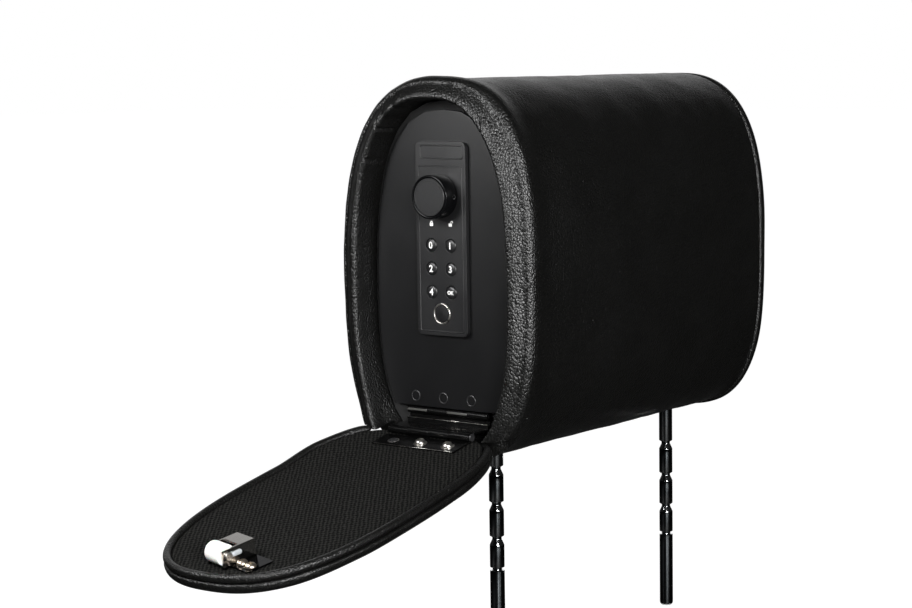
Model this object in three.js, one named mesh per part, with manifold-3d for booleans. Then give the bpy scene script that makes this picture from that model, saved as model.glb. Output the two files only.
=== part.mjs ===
// A car headrest with a safe inside: a padded leather body on two notched posts, a steel box with an
// electronic door at one end, and a padded cover that hangs open on a hinge below that door.
// Millimetres, +Z up. The padded cover is at -X, the side that a head rests on faces -Y, and the
// origin lies midway between the posts, level with the lowest point of the padding.
import * as THREE from 'three';
import { mergeVertices } from 'three/addons/utils/BufferGeometryUtils.js';
import Module from 'manifold-3d';

const wasm = await Module();
wasm.setup();

// Clearances
const GAP = 0.3; // between pieces that touch
const SOFT_GAP = 0.6; // round foam in its skin
const SLIDE = 0.35; // round pieces that slide or turn

// Body
const DOOR_FACE = -141.5; // X of the door's front face, from which depths are counted
const BODY_LENGTH = 317.5; // from the rim to the far end of the padding
const BODY_DEPTH = 154.6; // front to back
const BODY_MID_Y = 15.7; // the body's middle plane, behind the posts
const BODY_MID_Z = 125; // height of the widest place
const BODY_UP = 129; // from there to the top
const WRAP_RAISE = 2; // the skin's underside lies this far above the end panel's
const CROWN_REAR = 2.4; // roundness of the section: 2 is an ellipse, more is squarer
const CROWN_FRONT = 2.75;
const CROWN_LOW = 2.95;
const LEATHER = 1.5;
const END_PAD = 12; // thickness of the padded end panel
const END_SEAM = 1; // open seam between the panel and the skin
const BOARD = 3;

// Rolled rim round the door recess
const RIM_PROUD = 18.5; // in front of the door
const RIM_ROLL = 10; // depth along X of the round shoulder outside the crest
const RIM_DROP = 7; // and of the tighter roll inside it
const RIM_CREST = 0.45; // where the crest lies across the rim, from the recess outward
const RIM_SLOPE = 1.4; // roundness of the inner roll
const RECESS_HALF = 61.8;
const RECESS_MID_Z = 115;
const RECESS_UP = 125.3;
const RECESS_DOWN = 112;
const RECESS_FLOOR = 19.5; // height of the recess's flat floor
const RECESS_POWER = 2.55;

// Steel box and its door frame
const BOX_HALF = 54;
const BOX_UP = 115.5;
const BOX_DOWN = 109;
const BOX_FLOOR = 37; // height of the underside
const BOX_WALL = 3.2;
const BACK_ROOM = 30.9; // between the box's tube and the end panel
const FRAME_THICK = 3;
const FRAME_LIP = 6; // how far the frame reaches inside the box's walls
const DOOR_GAP = 0.6; // between the door's back and the frame
const LINER = 2.5;
const LINER_START = 26; // the lining begins this far behind the door's face

// Door
const DOOR_THICK = 3.2;
const DOOR_HALF = 56.7;
const DOOR_UP = 118.9;
const DOOR_DOWN = 105;
const DOOR_BOTTOM = 35.3; // height of the straight lower edge
const RIVET_SPAN = 23.2; // between neighbouring rivets
const RIVET_Y = 3.2;
const RIVET_Z = 42;
const RIVET_HEAD = 3.3; // radius
const RIVET_SHANK = 1.9;

// Door hinge
const DOOR_AXIS_DEPTH = 1.5; // behind the door's face
const DOOR_AXIS_Z = 32.3;
const DOOR_BARREL = 2.5; // radius
const DOOR_PIN = 1.2;
const DOOR_HINGE_HALF = 33.4;
const DOOR_LEAF = 1.2;
const DOOR_LEAF_TOP = 49.5;

// Lock
const STRIP_HALF = 20.6;
const STRIP_TOP = 213;
const STRIP_BOTTOM = 84.6;
const STRIP_PROUD = 3.6;
const STRIP_CORNER = 4;
const KNOB_Z = 177.2;
const KNOB_RADIUS = 14.5;
const KNOB_PROUD = 16.2;
const KNOB_DISC = 12.4;
const SPINDLE = 4;
const KEY_COLUMN = 16; // between the two columns of keys
const KEY_ROW = 15.5;
const KEY_MID_Y = 0.3;
const KEY_TOP_Z = 144.6;
const KEY_RADIUS = 4.3;
const KEY_FLANGE = 5.3;
const KEY_PROUD = 0.8;
const READER_Z = 99.2;
const READER_OUT = 7.1;
const READER_IN = 6;
const CASE_HALF = 27;
const CASE_TOP = 197;
const CASE_BOTTOM = 81;
const CASE_DEPTH = 27.5;
const CASE_WALL = 2.2;
const CELL_RADIUS = 5.2;
const CELL_PITCH = 10;
const CELL_LENGTH = 44.5;

// Bolts, driven by a pinion between two racks
const PINION_TEETH = 10;
const PINION_RADIUS = 4; // pitch circle
const TOOTH_SHARE = 0.38; // of the pitch, at the pitch line
const TOOTH_OUT = 0.7;
const TOOTH_ROOT = 0.95;
const BOLT_THICK = 4.6;
const BOLT_HEIGHT = 12;
const BOLT_DEPTH = 8.2; // behind the door's face
const BOLT_CLEAR = 1.5; // between a drawn-in bolt and the frame
const RACK_BACK = 3.2; // height of a rack's bar behind its teeth

// Posts
const POST_ROOM = 49.75; // from an end of the padding to a post, for posts midway in the padding
const POST_RADIUS = 5;
const POST_LENGTH = 167;
const POST_FOOT = -150; // Z of the lower end of the far post
const POST_OFFSET = 15.7; // the near post sits this much higher in its sleeve
const NOTCHES = [125.8, 101.3, 77.5, 56.5]; // heights above the lower end
const NOTCH_DEPTH = 1.8;
const NOTCH_NECK = 1.6; // height of the waist
const NOTCH_CONE = 3.6;
const NOTCH_LIP = 0.9;
const SLEEVE_WALL = 2.7;
const SLEEVE_FOOT = 6.5;
const RAIL_WALL = 2.5;
const RAIL_OVER = 11; // the rail goes on this far past each post
const RAIL_FOOT = 9.5;

// Cover and its hinge
const COVER_OPEN = 102; // degrees from closed
const COVER_AXIS_PROUD = 19.5; // in front of the door's face
const COVER_AXIS_Z = 21.8;
const COVER_BARREL = 2.7;
const COVER_PIN = 1.3;
const COVER_HINGE_HALF = 33.7;
const COVER_LEAF = 1.2;
const COVER_LEAF_REACH = 20;
const COVER_TAIL = 15; // the cover goes on this far below the axis
const COVER_INSET = 5.9; // smaller than the body at the sides
const COVER_TOP = 3.1; // and at the top
const COVER_PAD = 11.5; // thickness behind the lining's face
const LINING = 1.5;
const COVER_BOARD = 2.5;
const PIPING = 2.6; // radius
const PIPING_START = 4; // above the axis
const SHELF = 1.5;
const SHELF_LIP = 27.2; // Z of the lip's upper edge
const SMALL_SCREW = 1.5;

// Roller catch near the cover's tip
const CATCH_AT = 191.8; // from the hinge axis to the bracket's back wall
const CATCH_Y = -9;
const CATCH_TURN = 13; // degrees
const CATCH_HALF = 8.6;
const CATCH_HEIGHT = 11.8;
const CATCH_SHEET = 1.3;
const CATCH_ROOF = 10.4; // length of the bracket's roof
const CATCH_REACH = 19.3; // from the back wall to the roller's axis
const CATCH_TRAVEL = 2.5;
const ROLLER_RADIUS = 6.5;
const ROLLER_UP = 7.7; // the roller's axis above the lining
const CATCH_PIN = 1.6;

const SEGMENTS = 40; // points round each padded outline
const ROUND = 16; // sides of a round piece

// What follows from the sizes
const depth = (d) => DOOR_FACE + d;
const BODY_HALF = BODY_DEPTH / 2;
const RIM_FACE = depth(-RIM_PROUD);
const BODY_END = RIM_FACE + BODY_LENGTH;
const PANEL_FACE = BODY_END - END_PAD;
const WRAP_END = PANEL_FACE - END_SEAM;
const FRAME_FACE = depth(DOOR_THICK + DOOR_GAP);
const BOX_START = FRAME_FACE + FRAME_THICK + GAP;
const BOX_END = PANEL_FACE - BACK_ROOM;
const keySites = [];
for (let row = 0; row < 3; row += 1) {
  for (const side of [1, -1]) {
    keySites.push([KEY_MID_Y + (side * KEY_COLUMN) / 2, KEY_TOP_Z - row * KEY_ROW]);
  }
}

// Closed bodies from three.js geometry, and back
function solid(geometry) {
  const bare = geometry.clone();
  bare.deleteAttribute('normal');
  bare.deleteAttribute('uv');
  const merged = mergeVertices(bare, 1e-4);
  const index = merged.index.array;
  const triVerts = [];
  for (let i = 0; i < index.length; i += 3) {
    const [a, b, c] = [index[i], index[i + 1], index[i + 2]];
    if (a !== b && b !== c && c !== a) triVerts.push(a, b, c);
  }
  return new wasm.Manifold(
    new wasm.Mesh({
      numProp: 3,
      vertProperties: new Float32Array(merged.attributes.position.array),
      triVerts: new Uint32Array(triVerts),
    }),
  );
}

function shape(body) {
  const mesh = body.getMesh();
  const geometry = new THREE.BufferGeometry();
  geometry.setAttribute('position', new THREE.BufferAttribute(new Float32Array(mesh.vertProperties), 3));
  geometry.setIndex(new THREE.BufferAttribute(new Uint32Array(mesh.triVerts), 1));
  const flat = geometry.toNonIndexed();
  flat.computeVertexNormals();
  return flat;
}

const join = (first, ...rest) => shape(rest.reduce((body, g) => body.add(solid(g)), solid(first)));
const cut = (first, ...rest) => shape(rest.reduce((body, g) => body.subtract(solid(g)), solid(first)));

// Blocks and rods given by where they start and end
function block([x0, x1], [y0, y1], [z0, z1]) {
  const geometry = new THREE.BoxGeometry(x1 - x0, y1 - y0, z1 - z0);
  return geometry.translate((x0 + x1) / 2, (y0 + y1) / 2, (z0 + z1) / 2);
}

function rodX(radius, [x0, x1], y, z, sides = ROUND) {
  const geometry = new THREE.CylinderGeometry(radius, radius, x1 - x0, sides);
  return geometry.rotateZ(-Math.PI / 2).translate((x0 + x1) / 2, y, z);
}

function rodY(radius, [y0, y1], x, z, sides = ROUND) {
  const geometry = new THREE.CylinderGeometry(radius, radius, y1 - y0, sides);
  return geometry.translate(x, (y0 + y1) / 2, z);
}

function rodZ(radius, [z0, z1], x, y, sides = ROUND) {
  const geometry = new THREE.CylinderGeometry(radius, radius, z1 - z0, sides);
  return geometry.rotateX(Math.PI / 2).translate(x, y, (z0 + z1) / 2);
}

// A body turned round Z, from [radius, height] pairs that start and end on the axis
function turnedZ(profile, x, y, sides = ROUND) {
  const points = profile.map(([r, z]) => new THREE.Vector2(r, z));
  return new THREE.LatheGeometry(points, sides).rotateX(Math.PI / 2).translate(x, y, 0);
}

// A body turned round X, from [radius, x] pairs that start and end on the axis
function turnedX(profile, y, z, sides = ROUND) {
  const points = profile.map(([r, x]) => new THREE.Vector2(r, x));
  return new THREE.LatheGeometry(points, sides).rotateZ(-Math.PI / 2).translate(0, y, z);
}

// A sheet cut to [y, z] points and laid across X, and a bar with [x, z] points laid along Y
function sheet(points, [x0, x1]) {
  const outlineShape = new THREE.Shape(points.map(([y, z]) => new THREE.Vector2(y, z)));
  const geometry = new THREE.ExtrudeGeometry(outlineShape, { depth: x1 - x0, bevelEnabled: false });
  const axes = new THREE.Matrix4().makeBasis(
    new THREE.Vector3(0, 1, 0), new THREE.Vector3(0, 0, 1), new THREE.Vector3(1, 0, 0),
  );
  return geometry.applyMatrix4(axes).translate(x0, 0, 0);
}

function prismY(points, [y0, y1]) {
  const outlineShape = new THREE.Shape(points.map(([x, z]) => new THREE.Vector2(x, z)));
  const geometry = new THREE.ExtrudeGeometry(outlineShape, { depth: y1 - y0, bevelEnabled: false });
  return geometry.rotateX(Math.PI / 2).translate(0, y1, 0);
}

function roundedRect(y0, y1, z0, z1, radius) {
  const points = [];
  const corners = [[y1 - radius, z1 - radius, 0], [y0 + radius, z1 - radius, 1],
    [y0 + radius, z0 + radius, 2], [y1 - radius, z0 + radius, 3]];
  for (const [y, z, quarter] of corners) {
    for (let i = 0; i <= 4; i += 1) {
      const angle = ((quarter + i / 4) * Math.PI) / 2;
      points.push([y + radius * Math.cos(angle), z + radius * Math.sin(angle)]);
    }
  }
  return points;
}

// A rounded outline in Y and Z whose quarters each have their own power, drawn in by inset and
// spaced evenly within each quarter. A floor, where given, cuts it straight.
function outline({ half, up, down, mid, rear, front, low, floor }, inset = 0, count = SEGMENTS) {
  const quarters = [[1, 1, up, rear], [-1, 1, up, front], [-1, -1, down, low], [1, -1, down, low]];
  const points = [];
  for (const [sideY, sideZ, reach, power] of quarters) {
    const fine = [];
    for (let i = 0; i <= 200; i += 1) {
      const angle = (i / 200) * (Math.PI / 2);
      const turn = sideY * sideZ > 0 ? angle : Math.PI / 2 - angle;
      fine.push([
        sideY * (half - inset) * Math.abs(Math.cos(turn)) ** (2 / power),
        sideZ * (reach - inset) * Math.abs(Math.sin(turn)) ** (2 / power),
      ]);
    }
    const run = [0];
    for (let i = 1; i < fine.length; i += 1) {
      run.push(run[i - 1] + Math.hypot(fine[i][0] - fine[i - 1][0], fine[i][1] - fine[i - 1][1]));
    }
    const steps = count / 4;
    let at = 0;
    for (let i = 0; i < steps; i += 1) {
      const goal = (run[run.length - 1] * i) / steps;
      while (run[at + 1] < goal) at += 1;
      const share = (goal - run[at]) / (run[at + 1] - run[at]);
      const y = fine[at][0] + share * (fine[at + 1][0] - fine[at][0]);
      const z = fine[at][1] + share * (fine[at + 1][1] - fine[at][1]);
      points.push([BODY_MID_Y + y, mid + z]);
    }
  }
  if (floor === undefined) return points;
  return points.map(([y, z]) => [y, Math.max(z, floor + inset)]);
}

// Half width of such an outline at a height
function halfWidthAt({ half, up, down, mid, rear, low }, z) {
  const reach = z > mid ? up : down;
  const power = z > mid ? rear : low;
  return half * (1 - Math.abs((z - mid) / reach) ** power) ** (1 / power);
}

const evenPowers = (power) => ({ rear: power, front: power, low: power });
const bodyOutline = {
  half: BODY_HALF, up: BODY_UP, down: BODY_MID_Z, mid: BODY_MID_Z,
  rear: CROWN_REAR, front: CROWN_FRONT, low: CROWN_LOW,
};
const wrapOutline = { ...bodyOutline, down: BODY_MID_Z - WRAP_RAISE };
const recessOutline = {
  half: RECESS_HALF, up: RECESS_UP, down: RECESS_DOWN, mid: RECESS_MID_Z,
  ...evenPowers(RECESS_POWER), floor: RECESS_FLOOR,
};
const boxOutline = {
  half: BOX_HALF, up: BOX_UP, down: BOX_DOWN, mid: RECESS_MID_Z,
  ...evenPowers(RECESS_POWER), floor: BOX_FLOOR,
};
const openingInset = BOX_WALL + FRAME_LIP;
const openingOutline = {
  ...boxOutline, half: BOX_HALF - openingInset, up: BOX_UP - openingInset,
  down: BOX_DOWN - openingInset, floor: BOX_FLOOR + openingInset,
};
const doorOutline = {
  half: DOOR_HALF, up: DOOR_UP, down: DOOR_DOWN, mid: RECESS_MID_Z,
  ...evenPowers(RECESS_POWER), floor: DOOR_BOTTOM,
};

// A skin of rings, each a list of [x, y, z] points: closed by flat ends, or into a hoop
function loft(rings, hoop = false) {
  const count = rings[0].length;
  const positions = rings.flat(2);
  const index = [];
  const last = hoop ? rings.length : rings.length - 1;
  for (let k = 0; k < last; k += 1) {
    const next = (k + 1) % rings.length;
    for (let i = 0; i < count; i += 1) {
      const j = (i + 1) % count;
      const [a, b, c, d] = [k * count + i, k * count + j, next * count + j, next * count + i];
      index.push(a, b, c, a, c, d);
    }
  }
  if (!hoop) {
    for (const [ring, flip] of [[0, true], [rings.length - 1, false]]) {
      const centre = positions.length / 3;
      const sum = rings[ring].reduce((s, p) => [s[0] + p[0], s[1] + p[1], s[2] + p[2]], [0, 0, 0]);
      positions.push(...sum.map((v) => v / count));
      for (let i = 0; i < count; i += 1) {
        const a = ring * count + i;
        const b = ring * count + ((i + 1) % count);
        index.push(...(flip ? [centre, b, a] : [centre, a, b]));
      }
    }
  }
  const geometry = new THREE.BufferGeometry();
  geometry.setAttribute('position', new THREE.BufferAttribute(new Float32Array(positions), 3));
  geometry.setIndex(index);
  return geometry;
}

const ringAt = (x, points) => points.map(([y, z]) => [x, y, z]);

// The padding as a hoop: recess wall, inner roll, crest, round shoulder, side, end and box side.
// It is drawn in by inset; grow opens its hidden sides so that it can hollow out a larger one.
function padding(inset, grow, end, steps = 4) {
  const inner = outline(recessOutline, -inset);
  const outer = outline(wrapOutline, inset);
  const core = outline(boxOutline, grow - GAP);
  const back = BOX_START - grow;
  const front = RIM_FACE + inset;
  const edge = front + RIM_DROP;
  const between = (share) => inner.map(([y, z], i) => [
    y + share * (outer[i][0] - y), z + share * (outer[i][1] - z),
  ]);
  const rings = [ringAt(back, core), ringAt(back, inner), ringAt(edge, inner)];
  for (let i = 1; i <= steps; i += 1) {
    const angle = (i / steps) * (Math.PI / 2);
    const along = Math.sin(angle) ** (2 / RIM_SLOPE);
    const across = 1 - Math.cos(angle) ** (2 / RIM_SLOPE);
    rings.push(ringAt(edge - RIM_DROP * along, between(RIM_CREST * across)));
  }
  for (let i = 1; i <= steps; i += 1) {
    const angle = (i / steps) * (Math.PI / 2);
    const share = RIM_CREST + (1 - RIM_CREST) * Math.sin(angle);
    rings.push(ringAt(front + RIM_ROLL * (1 - Math.cos(angle)), between(share)));
  }
  rings.push(ringAt(end + grow, outer), ringAt(end + grow, core));
  return loft(rings, true);
}

// Room for the open cover below the rim: a wedge under the cover's lining when it hangs open
function coverRoom(grow) {
  const slope = Math.tan(THREE.MathUtils.degToRad(COVER_OPEN - 90));
  const under = COVER_BARREL + GAP - grow;
  const chin = depth(1.5 + grow);
  const axisX = depth(-COVER_AXIS_PROUD);
  const plane = (x) => COVER_AXIS_Z - under / Math.cos(Math.atan(slope)) + (x - axisX) * slope;
  const start = RIM_FACE - RIM_PROUD;
  const span = [BODY_MID_Y - BODY_DEPTH, BODY_MID_Y + BODY_DEPTH];
  return prismY([[start, plane(start)], [start, -BODY_HALF], [chin, -BODY_HALF], [chin, plane(chin)]], span);
}

const POST_SPAN = BODY_LENGTH - 2 * POST_ROOM;
const postSites = [[-POST_SPAN / 2, POST_FOOT + POST_OFFSET], [POST_SPAN / 2, POST_FOOT]];
const postRoom = (radius) => postSites.map(([x]) => rodZ(radius, [-BODY_MID_Z / 2, BOX_FLOOR], x, 0));
const sleeveRadius = POST_RADIUS + SLIDE + SLEEVE_WALL;
const railHalf = sleeveRadius + GAP + RAIL_WALL;
const railSpan = [-POST_SPAN / 2 - RAIL_OVER, POST_SPAN / 2 + RAIL_OVER];

const leatherWrap = () => cut(
  padding(0, 0, WRAP_END), padding(LEATHER, 1, WRAP_END), coverRoom(0), ...postRoom(POST_RADIUS + 1),
);

// The foam, hollowed for the post rail, with its own slanted end under the rim
function foamWrap() {
  const room = railHalf + GAP;
  return cut(
    padding(LEATHER + GAP, 0, WRAP_END - BOARD, 2),
    coverRoom(LEATHER + GAP),
    block([railSpan[0] - GAP, railSpan[1] + GAP], [-room, room], [RAIL_FOOT - 1, BOX_FLOOR + 1]),
    ...postRoom(sleeveRadius + GAP),
  );
}

// A padded panel seen end on, as rings from its straight side to its crown
function crowned(profile, inset, side, thick, edge, steps = 4) {
  const rings = [ringAt(side, outline(profile, inset))];
  for (let i = 0; i <= steps; i += 1) {
    const angle = (i / steps) * (Math.PI / 2);
    const x = side + thick - edge + edge * Math.sin(angle);
    rings.push(ringAt(x, outline(profile, inset + edge * (1 - Math.cos(angle)))));
  }
  rings.push(ringAt(side + thick + 1, outline(profile, inset + edge * 3)));
  return loft(rings);
}

const endLeather = () => cut(
  crowned(bodyOutline, 0, PANEL_FACE, END_PAD - 1, 7),
  crowned(bodyOutline, LEATHER, PANEL_FACE - 1, END_PAD - LEATHER, 6),
);

function endFoam() {
  const start = PANEL_FACE + BOARD + GAP;
  return crowned(bodyOutline, LEATHER + SOFT_GAP, start, BODY_END - 1 - LEATHER - SOFT_GAP - start, 5, 2);
}

function endBoard() {
  const plate = sheet(outline(bodyOutline, LEATHER + GAP), [PANEL_FACE, PANEL_FACE + BOARD]);
  const bossStart = BOX_END + BOX_WALL + 2 * GAP;
  const bosses = [];
  for (const y of [-BOX_HALF / 2, BOX_HALF / 2]) {
    for (const z of [-BOX_HALF, BOX_HALF]) {
      bosses.push(rodX(5, [bossStart, PANEL_FACE + 1], BODY_MID_Y + y, RECESS_MID_Z + z, 12));
    }
  }
  return join(plate, ...bosses);
}

// Steel box
const tube = (profile, wall, span) => cut(
  sheet(outline(profile), span),
  sheet(outline(profile, wall), [span[0] - 1, span[1] + 1]),
);
const safeShell = () => tube(boxOutline, BOX_WALL, [BOX_START, BOX_END]);
const safeBack = () => sheet(outline(boxOutline), [BOX_END + GAP, BOX_END + GAP + BOX_WALL]);

function doorFrame() {
  const plate = sheet(outline(recessOutline, GAP + 0.1), [FRAME_FACE, FRAME_FACE + FRAME_THICK]);
  const through = [FRAME_FACE - 1, FRAME_FACE + FRAME_THICK + 1];
  const notchHalf = DOOR_HINGE_HALF + 2;
  return cut(
    plate,
    sheet(outline(openingOutline), through),
    block(through, [BODY_MID_Y - notchHalf, BODY_MID_Y + notchHalf],
      [DOOR_AXIS_Z - DOOR_BARREL - 0.8, DOOR_LEAF_TOP + 2]),
  );
}

function compartmentLiner() {
  const span = [depth(LINER_START), BOX_END - GAP];
  return cut(
    sheet(outline(boxOutline, BOX_WALL + GAP), span),
    sheet(outline(boxOutline, BOX_WALL + GAP + LINER), [span[0] - 1, span[1] - LINER]),
  );
}

// Post mounting
const railTop = BOX_FLOOR - GAP;
function postRail() {
  const inner = railHalf - RAIL_WALL;
  return cut(
    block(railSpan, [-railHalf, railHalf], [RAIL_FOOT, railTop]),
    block([railSpan[0] - 1, railSpan[1] + 1], [-inner, inner], [RAIL_FOOT - 1, railTop - RAIL_WALL]),
  );
}

function postSleeve(x) {
  const top = railTop - RAIL_WALL - GAP;
  return cut(
    rodZ(sleeveRadius, [SLEEVE_FOOT, top], x, 0),
    rodZ(POST_RADIUS + SLIDE, [SLEEVE_FOOT - 1, top + 1], x, 0),
  );
}

function post([x, foot]) {
  const top = foot + POST_LENGTH;
  const profile = [[0, foot], [POST_RADIUS - 2.6, foot], [POST_RADIUS - 0.8, foot + 0.8], [POST_RADIUS, foot + 2.8]];
  const sorted = [...NOTCHES].sort((a, b) => a - b);
  sorted.forEach((height, i) => {
    const z = foot + height;
    const waist = POST_RADIUS - NOTCH_DEPTH;
    const rise = i === 0 ? 0.3 : NOTCH_CONE;
    profile.push([POST_RADIUS, z - NOTCH_NECK / 2 - rise]);
    profile.push([waist, z - NOTCH_NECK / 2]);
    profile.push([waist, z + NOTCH_NECK / 2]);
    profile.push([POST_RADIUS, z + NOTCH_NECK / 2 + (i === 0 ? 0.3 : NOTCH_LIP)]);
  });
  profile.push([POST_RADIUS, top - 1], [POST_RADIUS - 1, top], [0, top]);
  return turnedZ(profile, x, 0);
}

// Hinges: a barrel in four knuckles, every other one on the same leaf
function knuckles(half, radius, bore, axis, first) {
  const pitch = (2 * half) / 4;
  const list = [];
  for (let i = first; i < 4; i += 2) {
    const start = BODY_MID_Y - half + i * pitch + GAP / 2;
    list.push([start, start + pitch - GAP]);
  }
  return {
    spans: list,
    barrels: list.map((span) => rodY(radius, span, axis[0], axis[1], 16)),
    bore: rodY(bore + GAP, [BODY_MID_Y - half - 1, BODY_MID_Y + half + 1], axis[0], axis[1], 12),
  };
}

const doorAxis = [depth(DOOR_AXIS_DEPTH), DOOR_AXIS_Z];
const rivetSites = [-1, 0, 1].map((i) => BODY_MID_Y + RIVET_Y + i * RIVET_SPAN);

function doorHingeLeaf() {
  const { spans, barrels, bore } = knuckles(DOOR_HINGE_HALF, DOOR_BARREL, DOOR_PIN, doorAxis, 1);
  const back = FRAME_FACE - GAP;
  const webs = spans.map((span) => block([back - DOOR_LEAF, back], span, [DOOR_AXIS_Z - DOOR_BARREL - 1, DOOR_AXIS_Z]));
  const plate = block(
    [back - DOOR_LEAF, back],
    [BODY_MID_Y - DOOR_HINGE_HALF, BODY_MID_Y + DOOR_HINGE_HALF],
    [RECESS_FLOOR + 1, DOOR_AXIS_Z - DOOR_BARREL - 0.4],
  );
  return cut(join(plate, ...webs, ...barrels), bore);
}

function doorLeaf() {
  const { spans, barrels, bore } = knuckles(DOOR_HINGE_HALF, DOOR_BARREL, DOOR_PIN, doorAxis, 0);
  const front = depth(DOOR_THICK + GAP);
  const webs = spans.map((span) => block([depth(DOOR_AXIS_DEPTH + 1), front + DOOR_LEAF], span,
    [DOOR_AXIS_Z, DOOR_BOTTOM - GAP]));
  const plate = block(
    [front, front + DOOR_LEAF],
    [BODY_MID_Y - DOOR_HINGE_HALF, BODY_MID_Y + DOOR_HINGE_HALF],
    [DOOR_BOTTOM - GAP - 0.4, DOOR_LEAF_TOP],
  );
  const holes = rivetSites.map((y) => rodX(RIVET_SHANK + GAP, [front - 1, front + DOOR_LEAF + 1], y, RIVET_Z, 16));
  return cut(join(plate, ...webs, ...barrels), bore, ...holes);
}

const doorPin = () => rodY(
  DOOR_PIN, [BODY_MID_Y - DOOR_HINGE_HALF, BODY_MID_Y + DOOR_HINGE_HALF], doorAxis[0], doorAxis[1], 16,
);

// Door
function doorPlate() {
  const through = [depth(-1), depth(DOOR_THICK + 1)];
  const window = sheet(roundedRect(...windowSpan, 3), through);
  const holes = rivetSites.flatMap((y) => [
    rodX(RIVET_SHANK + GAP, through, y, RIVET_Z, 16),
    rodX(RIVET_HEAD + GAP, [depth(-1), depth(1.2 + GAP)], y, RIVET_Z),
  ]);
  return cut(
    sheet(outline(doorOutline), [depth(0), depth(DOOR_THICK)]),
    window, rodX(SPINDLE + SLIDE, through, BODY_MID_Y, KNOB_Z), ...holes,
  );
}

const windowSpan = [
  BODY_MID_Y + KEY_MID_Y - KEY_COLUMN / 2 - KEY_FLANGE - 2,
  BODY_MID_Y + KEY_MID_Y + KEY_COLUMN / 2 + KEY_FLANGE + 2,
  READER_Z - READER_OUT - 2,
  KEY_TOP_Z + KEY_FLANGE + 2,
];

function rivet(y) {
  const tail = depth(DOOR_THICK + GAP + DOOR_LEAF + 0.1);
  return turnedX([
    [0, depth(0.05)], [RIVET_HEAD - 0.3, depth(0.05)], [RIVET_HEAD, depth(0.4)], [RIVET_HEAD, depth(1.2)],
    [RIVET_SHANK, depth(1.2)], [RIVET_SHANK, tail], [RIVET_SHANK + 0.9, tail], [RIVET_SHANK + 0.6, tail + 0.5],
    [0, tail + 0.5],
  ], y, RIVET_Z, 12);
}

const stripFace = depth(-STRIP_PROUD);
function lockFascia() {
  const span = [stripFace, depth(-GAP)];
  const through = [span[0] - 1, span[1] + 1];
  const step = depth(-GAP - 1.9);
  const holes = keySites.flatMap(([y, z]) => [
    rodX(KEY_RADIUS + SLIDE, through, BODY_MID_Y + y, z, 14),
    rodX(KEY_FLANGE + SLIDE, [step, span[1] + 1], BODY_MID_Y + y, z, 14),
  ]);
  const plate = sheet(
    roundedRect(BODY_MID_Y - STRIP_HALF, BODY_MID_Y + STRIP_HALF, STRIP_BOTTOM, STRIP_TOP, STRIP_CORNER), span,
  );
  return cut(
    plate, ...holes,
    rodX(READER_OUT + GAP, through, BODY_MID_Y + KEY_MID_Y, READER_Z),
    rodX(SPINDLE + SLIDE, through, BODY_MID_Y, KNOB_Z),
  );
}

function key([y, z]) {
  const face = stripFace - KEY_PROUD;
  const flange = depth(-GAP - 1.9 + GAP);
  return turnedX([
    [0, face], [KEY_RADIUS * 0.6, face + 0.15], [KEY_RADIUS - 0.5, face + 0.55], [KEY_RADIUS, face + 1.2],
    [KEY_RADIUS, flange],
    [KEY_FLANGE, flange], [KEY_FLANGE, flange + 0.8], [0, flange + 0.8],
  ], BODY_MID_Y + y, z, 14);
}

function keyBoard() {
  const [y0, y1, z0, z1] = windowSpan;
  const span = [depth(1.2), depth(2.8)];
  const plate = sheet(roundedRect(y0 + GAP, y1 - GAP, z0 + GAP, z1 - GAP, 2.7), span);
  const switches = keySites.map(([y, z]) => rodX(2.2, [depth(0.4), depth(1.4)], BODY_MID_Y + y, z, 12));
  return join(plate, ...switches);
}

function readerRing() {
  const [y, z] = [BODY_MID_Y + KEY_MID_Y, READER_Z];
  return cut(
    rodX(READER_OUT, [stripFace - 0.6, depth(-GAP)], y, z),
    rodX(READER_IN, [stripFace - 2, depth(1)], y, z),
  );
}

const readerWindow = () => rodX(
  READER_IN - GAP, [stripFace + 0.2, depth(-GAP)], BODY_MID_Y + KEY_MID_Y, READER_Z,
);

function lockCase() {
  const start = depth(DOOR_THICK + GAP);
  const end = start + CASE_DEPTH;
  const [y0, y1] = [BODY_MID_Y - CASE_HALF, BODY_MID_Y + CASE_HALF];
  const boltRoom = [depth(BOLT_DEPTH) - SLIDE, depth(BOLT_DEPTH) + BOLT_THICK + SLIDE];
  const high = BOLT_HEIGHT / 2 + SLIDE;
  return cut(
    sheet(roundedRect(y0, y1, CASE_BOTTOM, CASE_TOP, 6), [start, end]),
    sheet(
      roundedRect(y0 + CASE_WALL, y1 - CASE_WALL, CASE_BOTTOM + CASE_WALL, CASE_TOP - CASE_WALL, 4),
      [start - 1, end - CASE_WALL],
    ),
    block(boltRoom, [y0 - 1, y1 + 1], [KNOB_Z - high, KNOB_Z + high]),
  );
}

function batteryPack() {
  const x = depth(DOOR_THICK + GAP + CASE_DEPTH - CASE_WALL - GAP - CELL_RADIUS);
  const foot = CASE_BOTTOM + CASE_WALL + GAP;
  const cells = [-1.5, -0.5, 0.5, 1.5].map((i) => rodZ(
    CELL_RADIUS, [foot, foot + CELL_LENGTH], x, BODY_MID_Y + i * CELL_PITCH, 12,
  ));
  return join(...cells);
}

// Racks and pinion. A tooth is a tapered wedge; the two racks run above and below the pinion.
const pitch = (2 * Math.PI * PINION_RADIUS) / PINION_TEETH;
const boltSpan = [depth(BOLT_DEPTH), depth(BOLT_DEPTH) + BOLT_THICK];

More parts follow.
